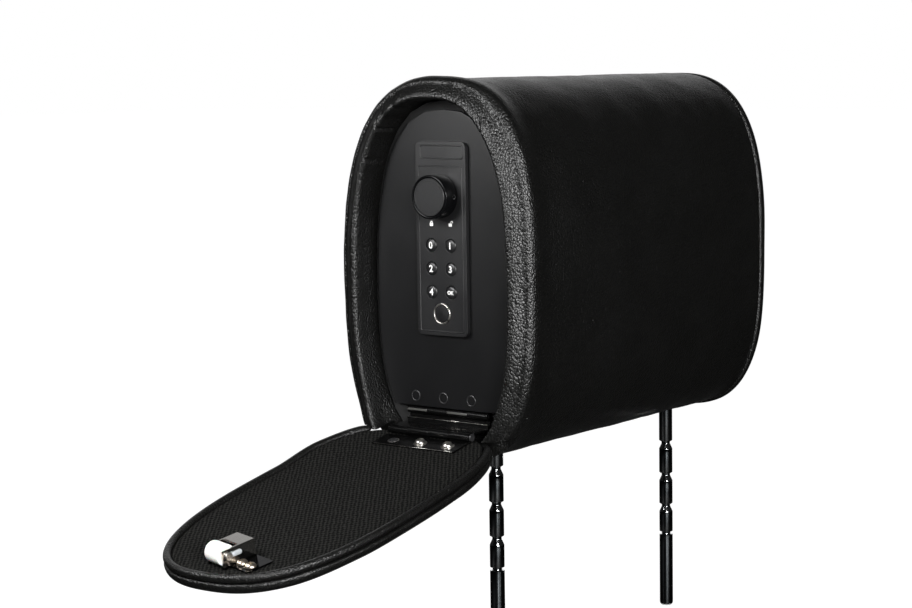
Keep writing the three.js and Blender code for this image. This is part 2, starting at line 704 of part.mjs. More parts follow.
function lockSpindle() {
  const teeth = [];
  const halfRoot = pitch * TOOTH_SHARE * 0.62;
  const halfTip = pitch * TOOTH_SHARE * 0.24;
  for (let i = 0; i < PINION_TEETH; i += 1) {
    const root = PINION_RADIUS - TOOTH_ROOT - 0.4;
    const tooth = sheet([[-halfRoot, root], [halfRoot, root], [halfTip, PINION_RADIUS + TOOTH_OUT],
      [-halfTip, PINION_RADIUS + TOOTH_OUT]].reverse(), boltSpan);
    tooth.rotateX(((i + 0.5) * 2 * Math.PI) / PINION_TEETH + Math.PI / PINION_TEETH);
    teeth.push(tooth.translate(0, BODY_MID_Y, KNOB_Z));
  }
  const core = PINION_RADIUS - TOOTH_ROOT;
  const shaft = turnedX([
    [0, depth(-KNOB_PROUD + 3)], [SPINDLE, depth(-KNOB_PROUD + 3)], [SPINDLE, depth(BOLT_DEPTH - 1)],
    [core, depth(BOLT_DEPTH - 0.5)], [core, boltSpan[1] + 1], [0, boltSpan[1] + 1],
  ], BODY_MID_Y, KNOB_Z);
  return join(shaft, ...teeth);
}

// One bolt, for the side given by sign; its rack lies above the pinion at +Y and below it at -Y
function bolt(sign) {
  const tip = halfWidthAt(openingOutline, KNOB_Z + BOLT_HEIGHT / 2 + 1) - BOLT_CLEAR;
  const inner = PINION_RADIUS + TOOTH_OUT + 4;
  const line = PINION_RADIUS + TOOTH_ROOT;
  const barTop = line + RACK_BACK;
  const reach = PINION_RADIUS + 3.6;
  const at = (y0, y1) => (sign > 0 ? [y0, y1] : [-y1, -y0]);
  const [bodyY0, bodyY1] = at(inner, tip);
  const [barY0, barY1] = at(-reach, inner + 1);
  const [barZ0, barZ1] = sign > 0 ? [line, barTop] : [-barTop, -line];
  const parts = [block(boltSpan, [barY0, barY1], [barZ0, barZ1])];
  const half = (pitch * TOOTH_SHARE) / 2;
  const slope = Math.tan(THREE.MathUtils.degToRad(20));
  const rootHalf = half + (TOOTH_ROOT + 0.2) * slope;
  const tipHalf = half - TOOTH_OUT * slope;
  for (let i = -5; i <= 5; i += 1) {
    const y = (i + 0.5) * pitch;
    if (sign * y > reach - 0.8 || sign * y < -reach + 0.8) continue;
    const outer = sign * (line + 0.2);
    const tipZ = sign * (PINION_RADIUS - TOOTH_OUT);
    const points = [[y - rootHalf, outer], [y + rootHalf, outer], [y + tipHalf, tipZ], [y - tipHalf, tipZ]];
    parts.push(sheet(sign > 0 ? points.reverse() : points, boltSpan));
  }
  const bar = block(boltSpan, [bodyY0, bodyY1], [-BOLT_HEIGHT / 2, BOLT_HEIGHT / 2]);
  return join(bar, ...parts).translate(0, BODY_MID_Y, KNOB_Z);
}

function knobBody() {
  const face = depth(-KNOB_PROUD);
  const back = stripFace - SLIDE;
  const body = turnedX([
    [0, face + 1.3], [KNOB_DISC + GAP, face + 1.3], [KNOB_DISC + GAP, face], [KNOB_RADIUS - 0.7, face],
    [KNOB_RADIUS, face + 0.7], [KNOB_RADIUS, back], [0, back],
  ], BODY_MID_Y, KNOB_Z, 28);
  return cut(body, rodX(SPINDLE + GAP, [face + 2.6, back + 1], BODY_MID_Y, KNOB_Z));
}

const knobDisc = () => rodX(
  KNOB_DISC, [depth(-KNOB_PROUD + 0.1), depth(-KNOB_PROUD + 1)], BODY_MID_Y, KNOB_Z, 28,
);

// Fixed half of the cover's hinge: shelf, upright lip and two knuckles
const coverAxis = [depth(-COVER_AXIS_PROUD), COVER_AXIS_Z];
const lipSpan = [depth(-0.4), FRAME_FACE - DOOR_LEAF - 2 * GAP];

function coverHingeBracket() {
  const { spans, barrels, bore } = knuckles(COVER_HINGE_HALF, COVER_BARREL, COVER_PIN, coverAxis, 1);
  const shelfZ = [COVER_AXIS_Z + COVER_BARREL - SHELF, COVER_AXIS_Z + COVER_BARREL];
  const wide = [BODY_MID_Y - COVER_HINGE_HALF, BODY_MID_Y + COVER_HINGE_HALF];
  const plate = block([coverAxis[0] + COVER_BARREL + 0.6, lipSpan[1]], wide, shelfZ);
  const lip = block(lipSpan, wide, [RECESS_FLOOR + 2.2, SHELF_LIP]);
  const webs = spans.map((span) => block([coverAxis[0], coverAxis[0] + COVER_BARREL + 1], span, shelfZ));
  return cut(join(plate, lip, ...webs, ...barrels), bore);
}

function coverPin() {
  const [y0, y1] = [BODY_MID_Y - COVER_HINGE_HALF, BODY_MID_Y + COVER_HINGE_HALF];
  return join(
    rodY(COVER_PIN, [y0 - 0.5, y1 + 0.5], coverAxis[0], coverAxis[1], 16),
    rodY(COVER_BARREL - 0.2, [y0 - 0.5 - 1, y0 - 0.5], coverAxis[0], coverAxis[1], 16),
  );
}

// Cover, drawn closed about its hinge axis: -X is outward and +Z is away from the hinge. Its outline
// is drawn in by inset, and its straight tail by tail.
const coverProfile = { ...bodyOutline, up: BODY_UP + COVER_INSET - COVER_TOP };
const coverOutline = (inset, tail) => outline(coverProfile, COVER_INSET + inset)
  .map(([y, z]) => [y, Math.max(z - COVER_AXIS_Z, tail - COVER_TAIL)]);
const liningFace = -(COVER_BARREL + COVER_LEAF - 0.1);
const coverBack = liningFace - COVER_PAD;
const sideTop = liningFace - PIPING - 0.6;
const innerInset = 2 * PIPING + 0.4;

function coverDome(inset, start, top, edge, tail, steps = 4) {
  const rings = [ringAt(top - 0.8, coverOutline(inset + edge * 3, tail))];
  for (let i = steps; i >= 0; i -= 1) {
    const angle = (i / steps) * (Math.PI / 2);
    const x = top + edge - edge * Math.sin(angle);
    rings.push(ringAt(x, coverOutline(inset + edge * (1 - Math.cos(angle)), tail)));
  }
  rings.push(ringAt(start, coverOutline(inset, tail)));
  return loft(rings);
}

const coverLeather = () => cut(
  coverDome(0, sideTop, coverBack + 0.8, 6.5, 0),
  coverDome(LEATHER, sideTop + 1, coverBack + 0.8 + LEATHER, 5.5, LEATHER),
);
const boardBack = liningFace - LINING - GAP - COVER_BOARD;
const coverFoam = () => coverDome(
  LEATHER + SOFT_GAP, boardBack - GAP, coverBack + 0.8 + LEATHER + SOFT_GAP, 5, LEATHER + SOFT_GAP, 2,
);

const leafScrews = [21, -1.5, -24];
const screwUp = 13;
const leafScrewRoom = (radius, span) => leafScrews.map((y) => rodX(radius, span, BODY_MID_Y + y, screwUp, 12));

function coverBoard() {
  const span = [boardBack, liningFace - LINING - GAP];
  const plate = sheet(coverOutline(innerInset, LEATHER + GAP), span);
  return cut(
    plate,
    ...leafScrewRoom(SMALL_SCREW + GAP, [span[0] - 1, span[1] + 1]), ...catchScrewRoom([span[0] - 1, span[1] + 1]),
  );
}

function coverLining() {
  const span = [liningFace - LINING, liningFace];
  const plate = sheet(coverOutline(innerInset, LEATHER), span);
  return cut(
    plate,
    ...leafScrewRoom(SMALL_SCREW + GAP, [span[0] - 1, span[1] + 1]), ...catchScrewRoom([span[0] - 1, span[1] + 1]),
  );
}

// Piping: a cord laid round the edge from one side of the hinge to the other
function coverPiping() {
  const path = outline(coverProfile, COVER_INSET + PIPING + 0.1, 2 * SEGMENTS)
    .map(([y, z]) => new THREE.Vector3(liningFace - GAP, y, z - COVER_AXIS_Z));
  const lowest = path.reduce((best, p, i) => (p.z < path[best].z ? i : best), 0);
  const around = [...path.slice(lowest), ...path.slice(0, lowest)].filter((p) => p.z > PIPING_START);
  const curve = new THREE.CatmullRomCurve3(around);
  const section = new THREE.Shape();
  section.absarc(0, 0, PIPING, 0, 2 * Math.PI);
  return new THREE.ExtrudeGeometry(section, { steps: 48, curveSegments: 4, extrudePath: curve, bevelEnabled: false });
}

function coverLeaf() {
  const { spans, barrels, bore } = knuckles(COVER_HINGE_HALF, COVER_BARREL, COVER_PIN, [0, 0], 0);
  const leafX = [liningFace + GAP - 0.1, liningFace + GAP - 0.1 + COVER_LEAF];
  const wide = [BODY_MID_Y - COVER_HINGE_HALF, BODY_MID_Y + COVER_HINGE_HALF];
  const plate = block(leafX, wide, [COVER_BARREL + 0.8, COVER_LEAF_REACH]);
  const webs = spans.map((span) => block(leafX, span, [0, COVER_BARREL + 1]));
  return cut(join(plate, ...webs, ...barrels), bore, ...leafScrewRoom(SMALL_SCREW + GAP, [-8, 0]));
}

function panScrew(y, z, seat, headRadius, headHeight, length) {
  return turnedX([
    [0, seat - length], [SMALL_SCREW, seat - length], [SMALL_SCREW, seat], [headRadius, seat],
    [headRadius, seat + headHeight * 0.4], [headRadius * 0.6, seat + headHeight], [0, seat + headHeight],
  ], y, z, 12);
}

const leafTop = liningFace + GAP - 0.1 + COVER_LEAF;
const leafScrew = (y) => panScrew(BODY_MID_Y + y, screwUp, leafTop + GAP, 3.2, 2.4, 6);

// Roller catch, drawn about the foot of its back wall: +Z towards the cover's tip, +X off the lining
const catchFoot = [liningFace, BODY_MID_Y + CATCH_Y, CATCH_AT];
const catchScrews = [[-13, 13.5], [-21.5, 13.5]];

function catchScrewRoom(span) {
  return catchScrews.map(([y, z]) => {
    const at = new THREE.Vector3(0, y, z).applyAxisAngle(new THREE.Vector3(1, 0, 0), -THREE.MathUtils.degToRad(CATCH_TURN));
    return rodX(SMALL_SCREW + GAP, span, catchFoot[1] + at.y, catchFoot[2] + at.z, 12);
  });
}

function catchBracket() {
  const base = [GAP, GAP + 1];
  const wallY = [[-CATCH_HALF, -CATCH_HALF + CATCH_SHEET], [CATCH_HALF - CATCH_SHEET, CATCH_HALF]];
  const reach = CATCH_REACH + CATCH_PIN + 2.4;
  const slotBack = CATCH_REACH - CATCH_TRAVEL;
  const foot = join(
    sheet(roundedRect(-CATCH_HALF - 17, CATCH_HALF + 1, 0, CATCH_REACH - 0.5, 1.5), base),
    block(base, [-CATCH_HALF, CATCH_HALF], [CATCH_REACH / 2, CATCH_REACH + 3]),
  );
  const rollerRoom = block([-1, ROLLER_UP], [-CATCH_HALF + CATCH_SHEET, CATCH_HALF - CATCH_SHEET], [CATCH_ROOF, 30]);
  const walls = wallY.map((span) => block([GAP, CATCH_HEIGHT], span, [0, reach]));
  const back = block([GAP, CATCH_HEIGHT], [-CATCH_HALF, CATCH_HALF], [0, CATCH_SHEET]);
  const roof = block([CATCH_HEIGHT - CATCH_SHEET, CATCH_HEIGHT], [-CATCH_HALF, CATCH_HALF], [0, CATCH_ROOF]);
  const slotRadius = CATCH_PIN + SLIDE;
  const across = [-CATCH_HALF - 1, CATCH_HALF + 1];
  const slot = [
    rodY(slotRadius, across, ROLLER_UP, CATCH_REACH, 16),
    rodY(slotRadius, across, ROLLER_UP, slotBack, 16),
    block([ROLLER_UP - slotRadius, ROLLER_UP + slotRadius], across, [slotBack, CATCH_REACH]),
  ];
  const holes = catchScrews.map(([y, z]) => rodX(SMALL_SCREW + GAP, [-1, 3], y, z, 12));
  return cut(join(cut(foot, rollerRoom), ...walls, back, roof), ...slot, ...holes);
}

const catchSpindle = () => join(
  rodY(CATCH_PIN, [-CATCH_HALF - 1, CATCH_HALF + 1], ROLLER_UP, CATCH_REACH, 16),
  rodY(CATCH_PIN + 0.9, [-CATCH_HALF - 1.4, -CATCH_HALF - GAP], ROLLER_UP, CATCH_REACH, 16),
  rodY(CATCH_PIN + 0.9, [CATCH_HALF + GAP, CATCH_HALF + 1.4], ROLLER_UP, CATCH_REACH, 16),
);

function catchRoller() {
  const half = CATCH_HALF - CATCH_SHEET - SLIDE;
  return cut(
    rodY(ROLLER_RADIUS, [-half, half], ROLLER_UP, CATCH_REACH, 28),
    rodY(CATCH_PIN + SLIDE, [-half - 1, half + 1], ROLLER_UP, CATCH_REACH, 16),
  );
}

const catchScrew = ([y, z]) => panScrew(y, z, GAP + 1 + GAP, 3, 2.4, 5.5);

// The scene
const steel = { color: 0x2b2b2c, roughness: 0.45, metalness: 0.8 };
const black = { color: 0x1c1c1c, roughness: 0.5, metalness: 0 };
const leather = { color: 0x242423, roughness: 0.5, metalness: 0 };
const chrome = { color: 0xd8dadc, roughness: 0.12, metalness: 1 };
const zinc = { color: 0xc9c9c6, roughness: 0.3, metalness: 1 };
const foam = { color: 0x8d8a80, roughness: 0.95, metalness: 0 };
const felt = { color: 0x2e2e30, roughness: 0.95, metalness: 0 };

function piece(name, geometry, look, group) {
  const mesh = new THREE.Mesh(geometry, new THREE.MeshStandardMaterial(look));
  mesh.name = name;
  group.add(mesh);
  return mesh;
}

const object = new THREE.Group();

function addBody() {
  piece('leather_wrap', leatherWrap(), leather, object);
  piece('foam_wrap', foamWrap(), foam, object);
  piece('end_leather', endLeather(), leather, object);
  piece('end_foam', endFoam(), foam, object);
  piece('end_board', endBoard(), black, object);
  piece('safe_shell', safeShell(), steel, object);
  piece('safe_back', safeBack(), steel, object);
  piece('door_frame', doorFrame(), steel, object);
  piece('compartment_liner', compartmentLiner(), felt, object);
  piece('post_rail', postRail(), steel, object);
  ['near', 'far'].forEach((place, i) => {
    piece(`post_sleeve_${place}`, postSleeve(postSites[i][0]), steel, object);
    piece(`post_${place}`, post(postSites[i]), chrome, object);
  });
  piece('door_hinge_leaf', doorHingeLeaf(), steel, object);
  piece('door_hinge_pin', doorPin(), zinc, object);
  piece('cover_hinge_bracket', coverHingeBracket(), steel, object);
  piece('cover_hinge_pin', coverPin(), zinc, object);
}

function addDoor() {
  const door = new THREE.Group();
  object.add(door);
  piece('door_plate', doorPlate(), steel, door);
  piece('door_leaf', doorLeaf(), steel, door);
  rivetSites.forEach((y, i) => piece(`door_rivet_${i + 1}`, rivet(y), steel, door));
  piece('lock_fascia', lockFascia(), black, door);
  piece('key_board', keyBoard(), { color: 0x1e5a34, roughness: 0.6, metalness: 0 }, door);
  ['0', '1', '2', '3', '4', 'ok'].forEach((label, i) => piece(`key_${label}`, key(keySites[i]), black, door));
  piece('reader_ring', readerRing(), zinc, door);
  piece('reader_window', readerWindow(), { color: 0x0c0c0d, roughness: 0.15, metalness: 0 }, door);
  piece('lock_case', lockCase(), black, door);
  piece('battery_pack', batteryPack(), { color: 0x4a4f58, roughness: 0.5, metalness: 0.3 }, door);
  piece('bolt_rear', bolt(1), zinc, door);
  piece('bolt_front', bolt(-1), zinc, door);
  piece('lock_spindle', lockSpindle(), zinc, door);
  piece('knob_body', knobBody(), black, door);
  piece('knob_disc', knobDisc(), black, door);
}

function addCover() {
  const cover = new THREE.Group();
  cover.position.set(coverAxis[0], 0, coverAxis[1]);
  cover.rotation.y = -THREE.MathUtils.degToRad(COVER_OPEN);
  object.add(cover);
  piece('cover_board', coverBoard(), black, cover);
  piece('cover_lining', coverLining(), felt, cover);
  piece('cover_foam', coverFoam(), foam, cover);
  piece('cover_leather', coverLeather(), leather, cover);
  piece('cover_piping', coverPiping(), leather, cover);
  piece('cover_leaf', coverLeaf(), steel, cover);
  leafScrews.forEach((y, i) => piece(`leaf_screw_${i + 1}`, leafScrew(y), zinc, cover));
  const roller = new THREE.Group();
  roller.position.set(...catchFoot);
  roller.rotation.x = -THREE.MathUtils.degToRad(CATCH_TURN);
  cover.add(roller);
  piece('catch_bracket', catchBracket(), zinc, roller);
  piece('catch_spindle', catchSpindle(), zinc, roller);
  piece('catch_roller', catchRoller(), { color: 0xf2f2ee, roughness: 0.4, metalness: 0 }, roller);
  catchScrews.forEach((site, i) => piece(`catch_screw_${i + 1}`, catchScrew(site), zinc, roller));
}

addBody();
addDoor();
addCover();

export default object;
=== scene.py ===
import math

import bmesh
import bpy
import numpy as np
from mathutils import Matrix, Vector, noise


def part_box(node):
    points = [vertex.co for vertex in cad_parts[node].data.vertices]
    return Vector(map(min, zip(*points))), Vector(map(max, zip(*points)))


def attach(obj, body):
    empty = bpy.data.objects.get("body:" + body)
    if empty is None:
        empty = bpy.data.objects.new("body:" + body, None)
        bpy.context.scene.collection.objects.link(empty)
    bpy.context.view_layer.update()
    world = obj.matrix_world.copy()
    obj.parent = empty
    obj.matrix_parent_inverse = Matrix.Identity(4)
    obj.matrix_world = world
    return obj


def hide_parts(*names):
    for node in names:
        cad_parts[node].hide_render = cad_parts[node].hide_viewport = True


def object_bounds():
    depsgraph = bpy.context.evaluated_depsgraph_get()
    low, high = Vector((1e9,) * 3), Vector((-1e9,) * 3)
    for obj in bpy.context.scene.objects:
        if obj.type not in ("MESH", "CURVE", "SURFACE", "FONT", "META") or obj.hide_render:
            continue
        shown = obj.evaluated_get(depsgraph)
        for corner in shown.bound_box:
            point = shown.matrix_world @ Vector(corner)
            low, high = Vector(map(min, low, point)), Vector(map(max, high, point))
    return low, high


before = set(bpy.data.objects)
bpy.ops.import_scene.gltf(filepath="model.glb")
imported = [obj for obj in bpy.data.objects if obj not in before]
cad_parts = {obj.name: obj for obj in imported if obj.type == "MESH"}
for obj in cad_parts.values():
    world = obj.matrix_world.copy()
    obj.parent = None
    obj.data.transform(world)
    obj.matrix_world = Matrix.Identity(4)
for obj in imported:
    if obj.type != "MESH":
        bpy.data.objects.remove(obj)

cad_low, cad_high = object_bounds()

# Camera: a short telephoto on a stand at the keypad end, a little above the safe and turned so
# that the door, the open cover and the long leather side all show.
YAW, PITCH, ROLL = 37.273, -6.455, -0.907
FOCAL_MM = 84.123
CAMERA_MM = (-1254.388, -839.924, 264.137)
yaw, pitch, tilt = (math.radians(angle) for angle in (YAW, PITCH, ROLL))
ahead = Vector((math.cos(pitch) * math.cos(yaw), math.cos(pitch) * math.sin(yaw), math.sin(pitch)))
level = ahead.cross(Vector((0, 0, 1))).normalized()
upward = level.cross(ahead)
across = math.cos(tilt) * level + math.sin(tilt) * upward
upright = -math.sin(tilt) * level + math.cos(tilt) * upward
camera_data = bpy.data.cameras.new("camera")
camera_data.sensor_width = 36
camera_data.lens = FOCAL_MM
camera_data.clip_end = 50
camera = bpy.data.objects.new("camera", camera_data)
camera.matrix_world = (
    Matrix.Translation(Vector(CAMERA_MM) / 1000)
    @ Matrix((across, upright, -ahead)).transposed().to_4x4()
)
into_scene = bpy.context.scene.collection.objects.link
into_scene(camera)
bpy.context.scene.camera = camera
bpy.context.scene.view_settings.view_transform = "Standard"


# Studio floor: smooth white-painted board under the posts, which takes a faint shadow.
def linear(hex_colour):
    """Turns an sRGB hex colour into linear red, green, blue and alpha."""
    parts = [int(hex_colour[i:i + 2], 16) / 255 for i in (1, 3, 5)]
    return [p / 12.92 if p <= 0.04045 else ((p + 0.055) / 1.055) ** 2.4 for p in parts] + [1]


def add(tree, kind, sockets=(), **settings):
    """Adds a shader node, with values or links on its sockets. A node stands for its first output."""
    made = tree.nodes.new("ShaderNode" + kind)
    for name, value in settings.items():
        setattr(made, name, value)
    for name, value in dict(sockets).items():
        if isinstance(value, bpy.types.Node):
            value = value.outputs[0]
        if isinstance(value, bpy.types.NodeSocket):
            tree.links.new(value, made.inputs[name])
        else:
            made.inputs[name].default_value = value
    return made


def calc(tree, operation, *values, kind="Math"):
    """A node that reckons with numbers, or with vectors."""
    return add(tree, kind, dict(enumerate(values)), operation=operation)


def board(name, corners, height, material):
    """A flat sheet of the studio, given by its corners in m."""
    mesh = bpy.data.meshes.new(name)
    mesh.from_pydata([(x, y, height) for x, y in corners], [], [range(len(corners))])
    mesh.materials.append(material)
    sheet = bpy.data.objects.new(name, mesh)
    into_scene(sheet)
    return sheet


FLOOR_Z = cad_low.z - 0.0005
FLOOR_HALF = 14.0
painted_board = bpy.data.materials.new("white_painted_board")
painted_board.use_nodes = True
tree = painted_board.node_tree
tree.nodes.clear()
paths = add(tree, "LightPath")
seen = calc(tree, "MULTIPLY", paths.outputs["Is Camera Ray"], 0.84)
pale = add(tree, "BsdfDiffuse", {"Color": linear("#f4f4f3")})
white = add(tree, "Emission", {"Color": (1, 1, 1, 1), "Strength": 1.2})
mixed = add(tree, "MixShader", {0: seen, 1: pale, 2: white})
add(tree, "OutputMaterial", {"Surface": mixed})
floor_corners = [(x * FLOOR_HALF, y * FLOOR_HALF) for x, y in ((-1, -1), (1, -1), (1, 1), (-1, 1))]
floor = board("floor", floor_corners, FLOOR_Z, painted_board)

# Studio room: a white backdrop behind the safe. Glossy leather and chrome mirror only its middle,
# and the rest of the room is dim, which keeps the black leather and the posts' fronts dark.
ROOM_LEVEL = 0.02
BACKDROP_TOWARD = (0.796, 0.605, 0.0)   # the camera's heading over the floor
FADE_START, FADE_END = 0.78, 0.94       # cosines of the angle from its middle
world = bpy.data.worlds.new("studio_room")
bpy.context.scene.world = world
world.use_nodes = True
tree = world.node_tree
tree.nodes.clear()
paths = add(tree, "LightPath")
toward = add(tree, "TexCoord")
facing = calc(tree, "DOT_PRODUCT", toward.outputs["Generated"], BACKDROP_TOWARD, kind="VectorMath")
behind = add(tree, "MapRange", {0: facing.outputs["Value"], 1: FADE_START, 2: FADE_END, 3: 0.0, 4: 1.0},
             interpolation_type="SMOOTHSTEP")
mirrored = calc(tree, "MAXIMUM", paths.outputs["Is Glossy Ray"], paths.outputs["Is Transmission Ray"])
mirrored = calc(tree, "MULTIPLY", mirrored, behind)
shown = calc(tree, "MAXIMUM", mirrored, paths.outputs["Is Camera Ray"])
tone = add(tree, "MixRGB", {0: shown, 1: (ROOM_LEVEL, ROOM_LEVEL, ROOM_LEVEL, 1), 2: (1, 1, 1, 1)})
backdrop = add(tree, "Background", {"Color": tone, "Strength": 1.0})
add(tree, "OutputWorld", {"Surface": backdrop.outputs[0]})

# Lamps, each a lit cloth panel: the key to the right of the camera and a little above it, a small
# one close to the door on its left, a weak one low along the leather side and a faint one overhead.
LAMPS = (   # name, place and aim in m, width in m, watts
    ("softbox_key", (-1.12, -1.27, 0.44), (-0.12, -0.05, 0.12), 0.4, 30.0),
    ("softbox_front", (-0.62, 0.17, 0.37), (-0.14, 0.0, 0.15), 0.26, 3.3),
    ("softbox_side", (-0.4, -1.2, 0.16), (-0.1, -0.06, 0.12), 0.2, 4.0),
    ("softbox_top", (-0.3, 0.35, 1.5), (-0.1, 0.0, 0.1), 0.6, 0.3),
)
for name, place, aim, width, watts in LAMPS:
    lamp_data = bpy.data.lights.new(name, "AREA")
    lamp_data.shape = "SQUARE"
    lamp_data.size = width
    lamp_data.energy = watts
    lamp = bpy.data.objects.new(name, lamp_data)
    lamp.location = place
    lamp.rotation_mode = "QUATERNION"
    lamp.rotation_quaternion = (Vector(aim) - Vector(place)).to_track_quat("-Z", "Y")
    into_scene(lamp)

# Black cloth over most of the studio floor, short of the picture's far side: only reflections see
# it, and it keeps the white floor out of the leather and the chrome.
FLAG_CORNERS = ((-9, -9), (9, -9), (9, 1.5), (0.9, 0.25), (0.25, 0.7), (-1, 9), (-9, 9))
flag_cloth = bpy.data.materials.new("black_flag_cloth")
flag_cloth.use_nodes = True
flag_cloth.node_tree.nodes["Principled BSDF"].inputs["Base Color"].default_value = linear("#0a0a0a")
flag = board("floor_flag", FLAG_CORNERS, FLOOR_Z + 0.002, flag_cloth)
flag.visible_camera = flag.visible_diffuse = flag.visible_shadow = flag.visible_transmission = False


# Padded body: black grained cowhide drawn over moulded foam, rolled over the rim of the door
# recess and down its wall, and tucked in along the far end. Creases gather round the tight curve.
def start_material(name, **sockets):
    """Starts a material: its Principled shader, with the values given, and object coordinates."""
    made = bpy.data.materials.new(name)
    made.use_nodes = True
    made_tree = made.node_tree
    made_shader = made_tree.nodes["Principled BSDF"]
    for key, value in sockets.items():
        made_shader.inputs[key.replace("_", " ")].default_value = value
    return made, made_tree, made_shader, add(made_tree, "TexCoord").outputs["Object"]


def wire(made_shader, **nodes):
    """Links each node's first output to the shader's socket of that name."""
    for key, node in nodes.items():
        made_shader.id_data.links.new(node.outputs[0], made_shader.inputs[key.replace("_", " ")])


def tones(made_tree, share, dark, light):
    """A colour that goes from dark to light with a node's output."""
    return add(made_tree, "MixRGB", {0: share, 1: linear(dark), 2: linear(light)})


def spread(made_tree, noise_node, low, high):
    """A value that goes from low to high over the middle of a noise."""
    return add(made_tree, "MapRange", {0: noise_node, 1: 0.3, 2: 0.7, 3: low, 4: high})


def cloudy(made_tree, spot, scale, detail=2.0, coarse=0.5):
    """Noise of this scale, with finer clouds in it."""
    return add(made_tree, "TexNoise", {"Vector": spot, "Scale": scale, "Detail": detail, "Roughness": coarse})


# Embossed and spray-finished cowhide: near black and satin, with a pebbled grain whose domes
# catch the light in small points, and fine wrinkles along the pull.
PEBBLE_MM, PEBBLE_STRETCH = 1.35, 0.8   # width of one pebble of the grain, drawn out along Z
WRINKLE_MM, WRINKLE_STRETCH = 3.4, 0.42
PORE_MM = 0.7                           # fine grain on the pebbles
leather, tree, shader, place = start_material("grained_black_cowhide", IOR=1.5, Specular_IOR_Level=0.5)
pebble_scale = [way * 1000 / PEBBLE_MM for way in (1, 1, PEBBLE_STRETCH)]
wrinkle_scale = [way * 1000 / WRINKLE_MM for way in (1, 1, WRINKLE_STRETCH)]
drawn_out = add(tree, "Mapping", {"Vector": place, "Scale": pebble_scale})
wander = cloudy(tree, drawn_out, 0.45, 1.0)
wander = calc(tree, "MULTIPLY", wander.outputs["Color"], (0.4, 0.4, 0.4), kind="VectorMath")
wander = calc(tree, "ADD", drawn_out, wander, kind="VectorMath")
pebbles = add(tree, "TexVoronoi", {"Vector": wander, "Scale": 1.0, "Randomness": 1.0}, feature="F1")
dome = calc(tree, "MULTIPLY", pebbles, pebbles)
dome = calc(tree, "SUBTRACT", 1.0, dome)
pull = add(tree, "Mapping", {"Vector": place, "Scale": wrinkle_scale})
wrinkles = add(tree, "TexNoise", {"Vector": pull, "Scale": 1.0, "Detail": 3.0, "Roughness": 0.62,
                                  "Distortion": 0.8})
pores = cloudy(tree, place, 1000 / PORE_MM, 1.0)
patches = cloudy(tree, place, 26.0, 3.0, 0.55)
tint = tones(tree, dome, "#040404", "#0d0d0c")
gloss = spread(tree, patches, 0.33, 0.41)
raised = calc(tree, "MULTIPLY_ADD", wrinkles, 0.4, dome)
raised = calc(tree, "MULTIPLY_ADD", pores, 0.2, raised)
grain = add(tree, "Bump", {"Strength": 1.0, "Distance": 0.0004, "Height": raised})
wire(shader, Base_Color=tint, Roughness=gloss, Normal=grain)


def outline(profile, inset=0.0, count=256):
    """Points in Y and Z round a shape whose quarters each have their own roundness."""
    half, mid_y, mid_z = profile["half"], profile["mid_y"], profile["mid_z"]
    quarters = (
        (1, 1, profile["up"], profile["rear"]), (-1, 1, profile["up"], profile["front"]),
        (-1, -1, profile["down"], profile["low"]), (1, -1, profile["down"], profile["low"]),
    )
    points = []
    for side_y, side_z, reach, power in quarters:
        angle = np.linspace(0, math.pi / 2, 801)
        if side_y * side_z < 0:
            angle = angle[::-1]
        y = side_y * (half - inset) * np.abs(np.cos(angle)) ** (2 / power)
        z = side_z * (reach - inset) * np.abs(np.sin(angle)) ** (2 / power)
        run = np.concatenate([[0], np.cumsum(np.hypot(np.diff(y), np.diff(z)))])
        goal = np.linspace(0, run[-1], count // 4, endpoint=False)
        points.append(np.stack([np.interp(goal, run, y), np.interp(goal, run, z)], 1))
    points = np.concatenate(points) + np.array([mid_y, mid_z])
    if "floor" in profile:
        points[:, 1] = np.maximum(points[:, 1], profile["floor"] + inset)
    return points


def turns(count):
    """Angles evenly spaced round a circle."""
    return np.linspace(0, 2 * math.pi, count, endpoint=False)


def ring(x, points):
    """A ring of 3-D points at one X."""
    return np.column_stack([np.full(len(points), x), points])


def skin(name, rings, material, hoop=False, place_it=None, smooth=True):
    """A closed mesh through rings of points in mm: a hoop, or capped at both ends."""
    count = len(rings[0])
    points = np.concatenate(rings)
    faces = []
    last = len(rings) if hoop else len(rings) - 1
    for k in range(last):
        a, b = k * count, ((k + 1) % len(rings)) * count
        faces += [(a + i, a + (i + 1) % count, b + (i + 1) % count, b + i) for i in range(count)]
    if not hoop:
        faces.append(tuple(range(count))[::-1])
        faces.append(tuple(range((len(rings) - 1) * count, len(rings) * count)))
    return mesh_piece(name, points, faces, material, place_it, smooth)


def mesh_piece(name, points, faces, material, place_it=None, smooth=True):
    """An object from points in mm, moved to its place, with its faces turned outward."""
    mesh = bpy.data.meshes.new(name)
    mesh.from_pydata([Vector(p) * 0.001 for p in np.asarray(points, float)], [], faces)
    if place_it is not None:
        mesh.transform(place_it)
    tidy = bmesh.new()
    tidy.from_mesh(mesh)
    bmesh.ops.recalc_face_normals(tidy, faces=tidy.faces)
    tidy.to_mesh(mesh)
    tidy.free()
    mesh.polygons.foreach_set("use_smooth", [smooth] * len(mesh.polygons))
    mesh.materials.append(material)
    piece = bpy.data.objects.new(name, mesh)
    into_scene(piece)
    return piece


def carve(piece, cutters):
    """Cuts each cutter out of a piece and takes the cutter away."""
    for cutter in cutters:
        modifier = piece.modifiers.new("carve", "BOOLEAN")
        modifier.operation = "DIFFERENCE"
        modifier.solver = "EXACT"
        modifier.object = cutter
        final = bpy.data.meshes.new_from_object(piece.evaluated_get(bpy.context.evaluated_depsgraph_get()))
        piece.modifiers.clear()
        piece.data = final
        bpy.data.objects.remove(cutter)


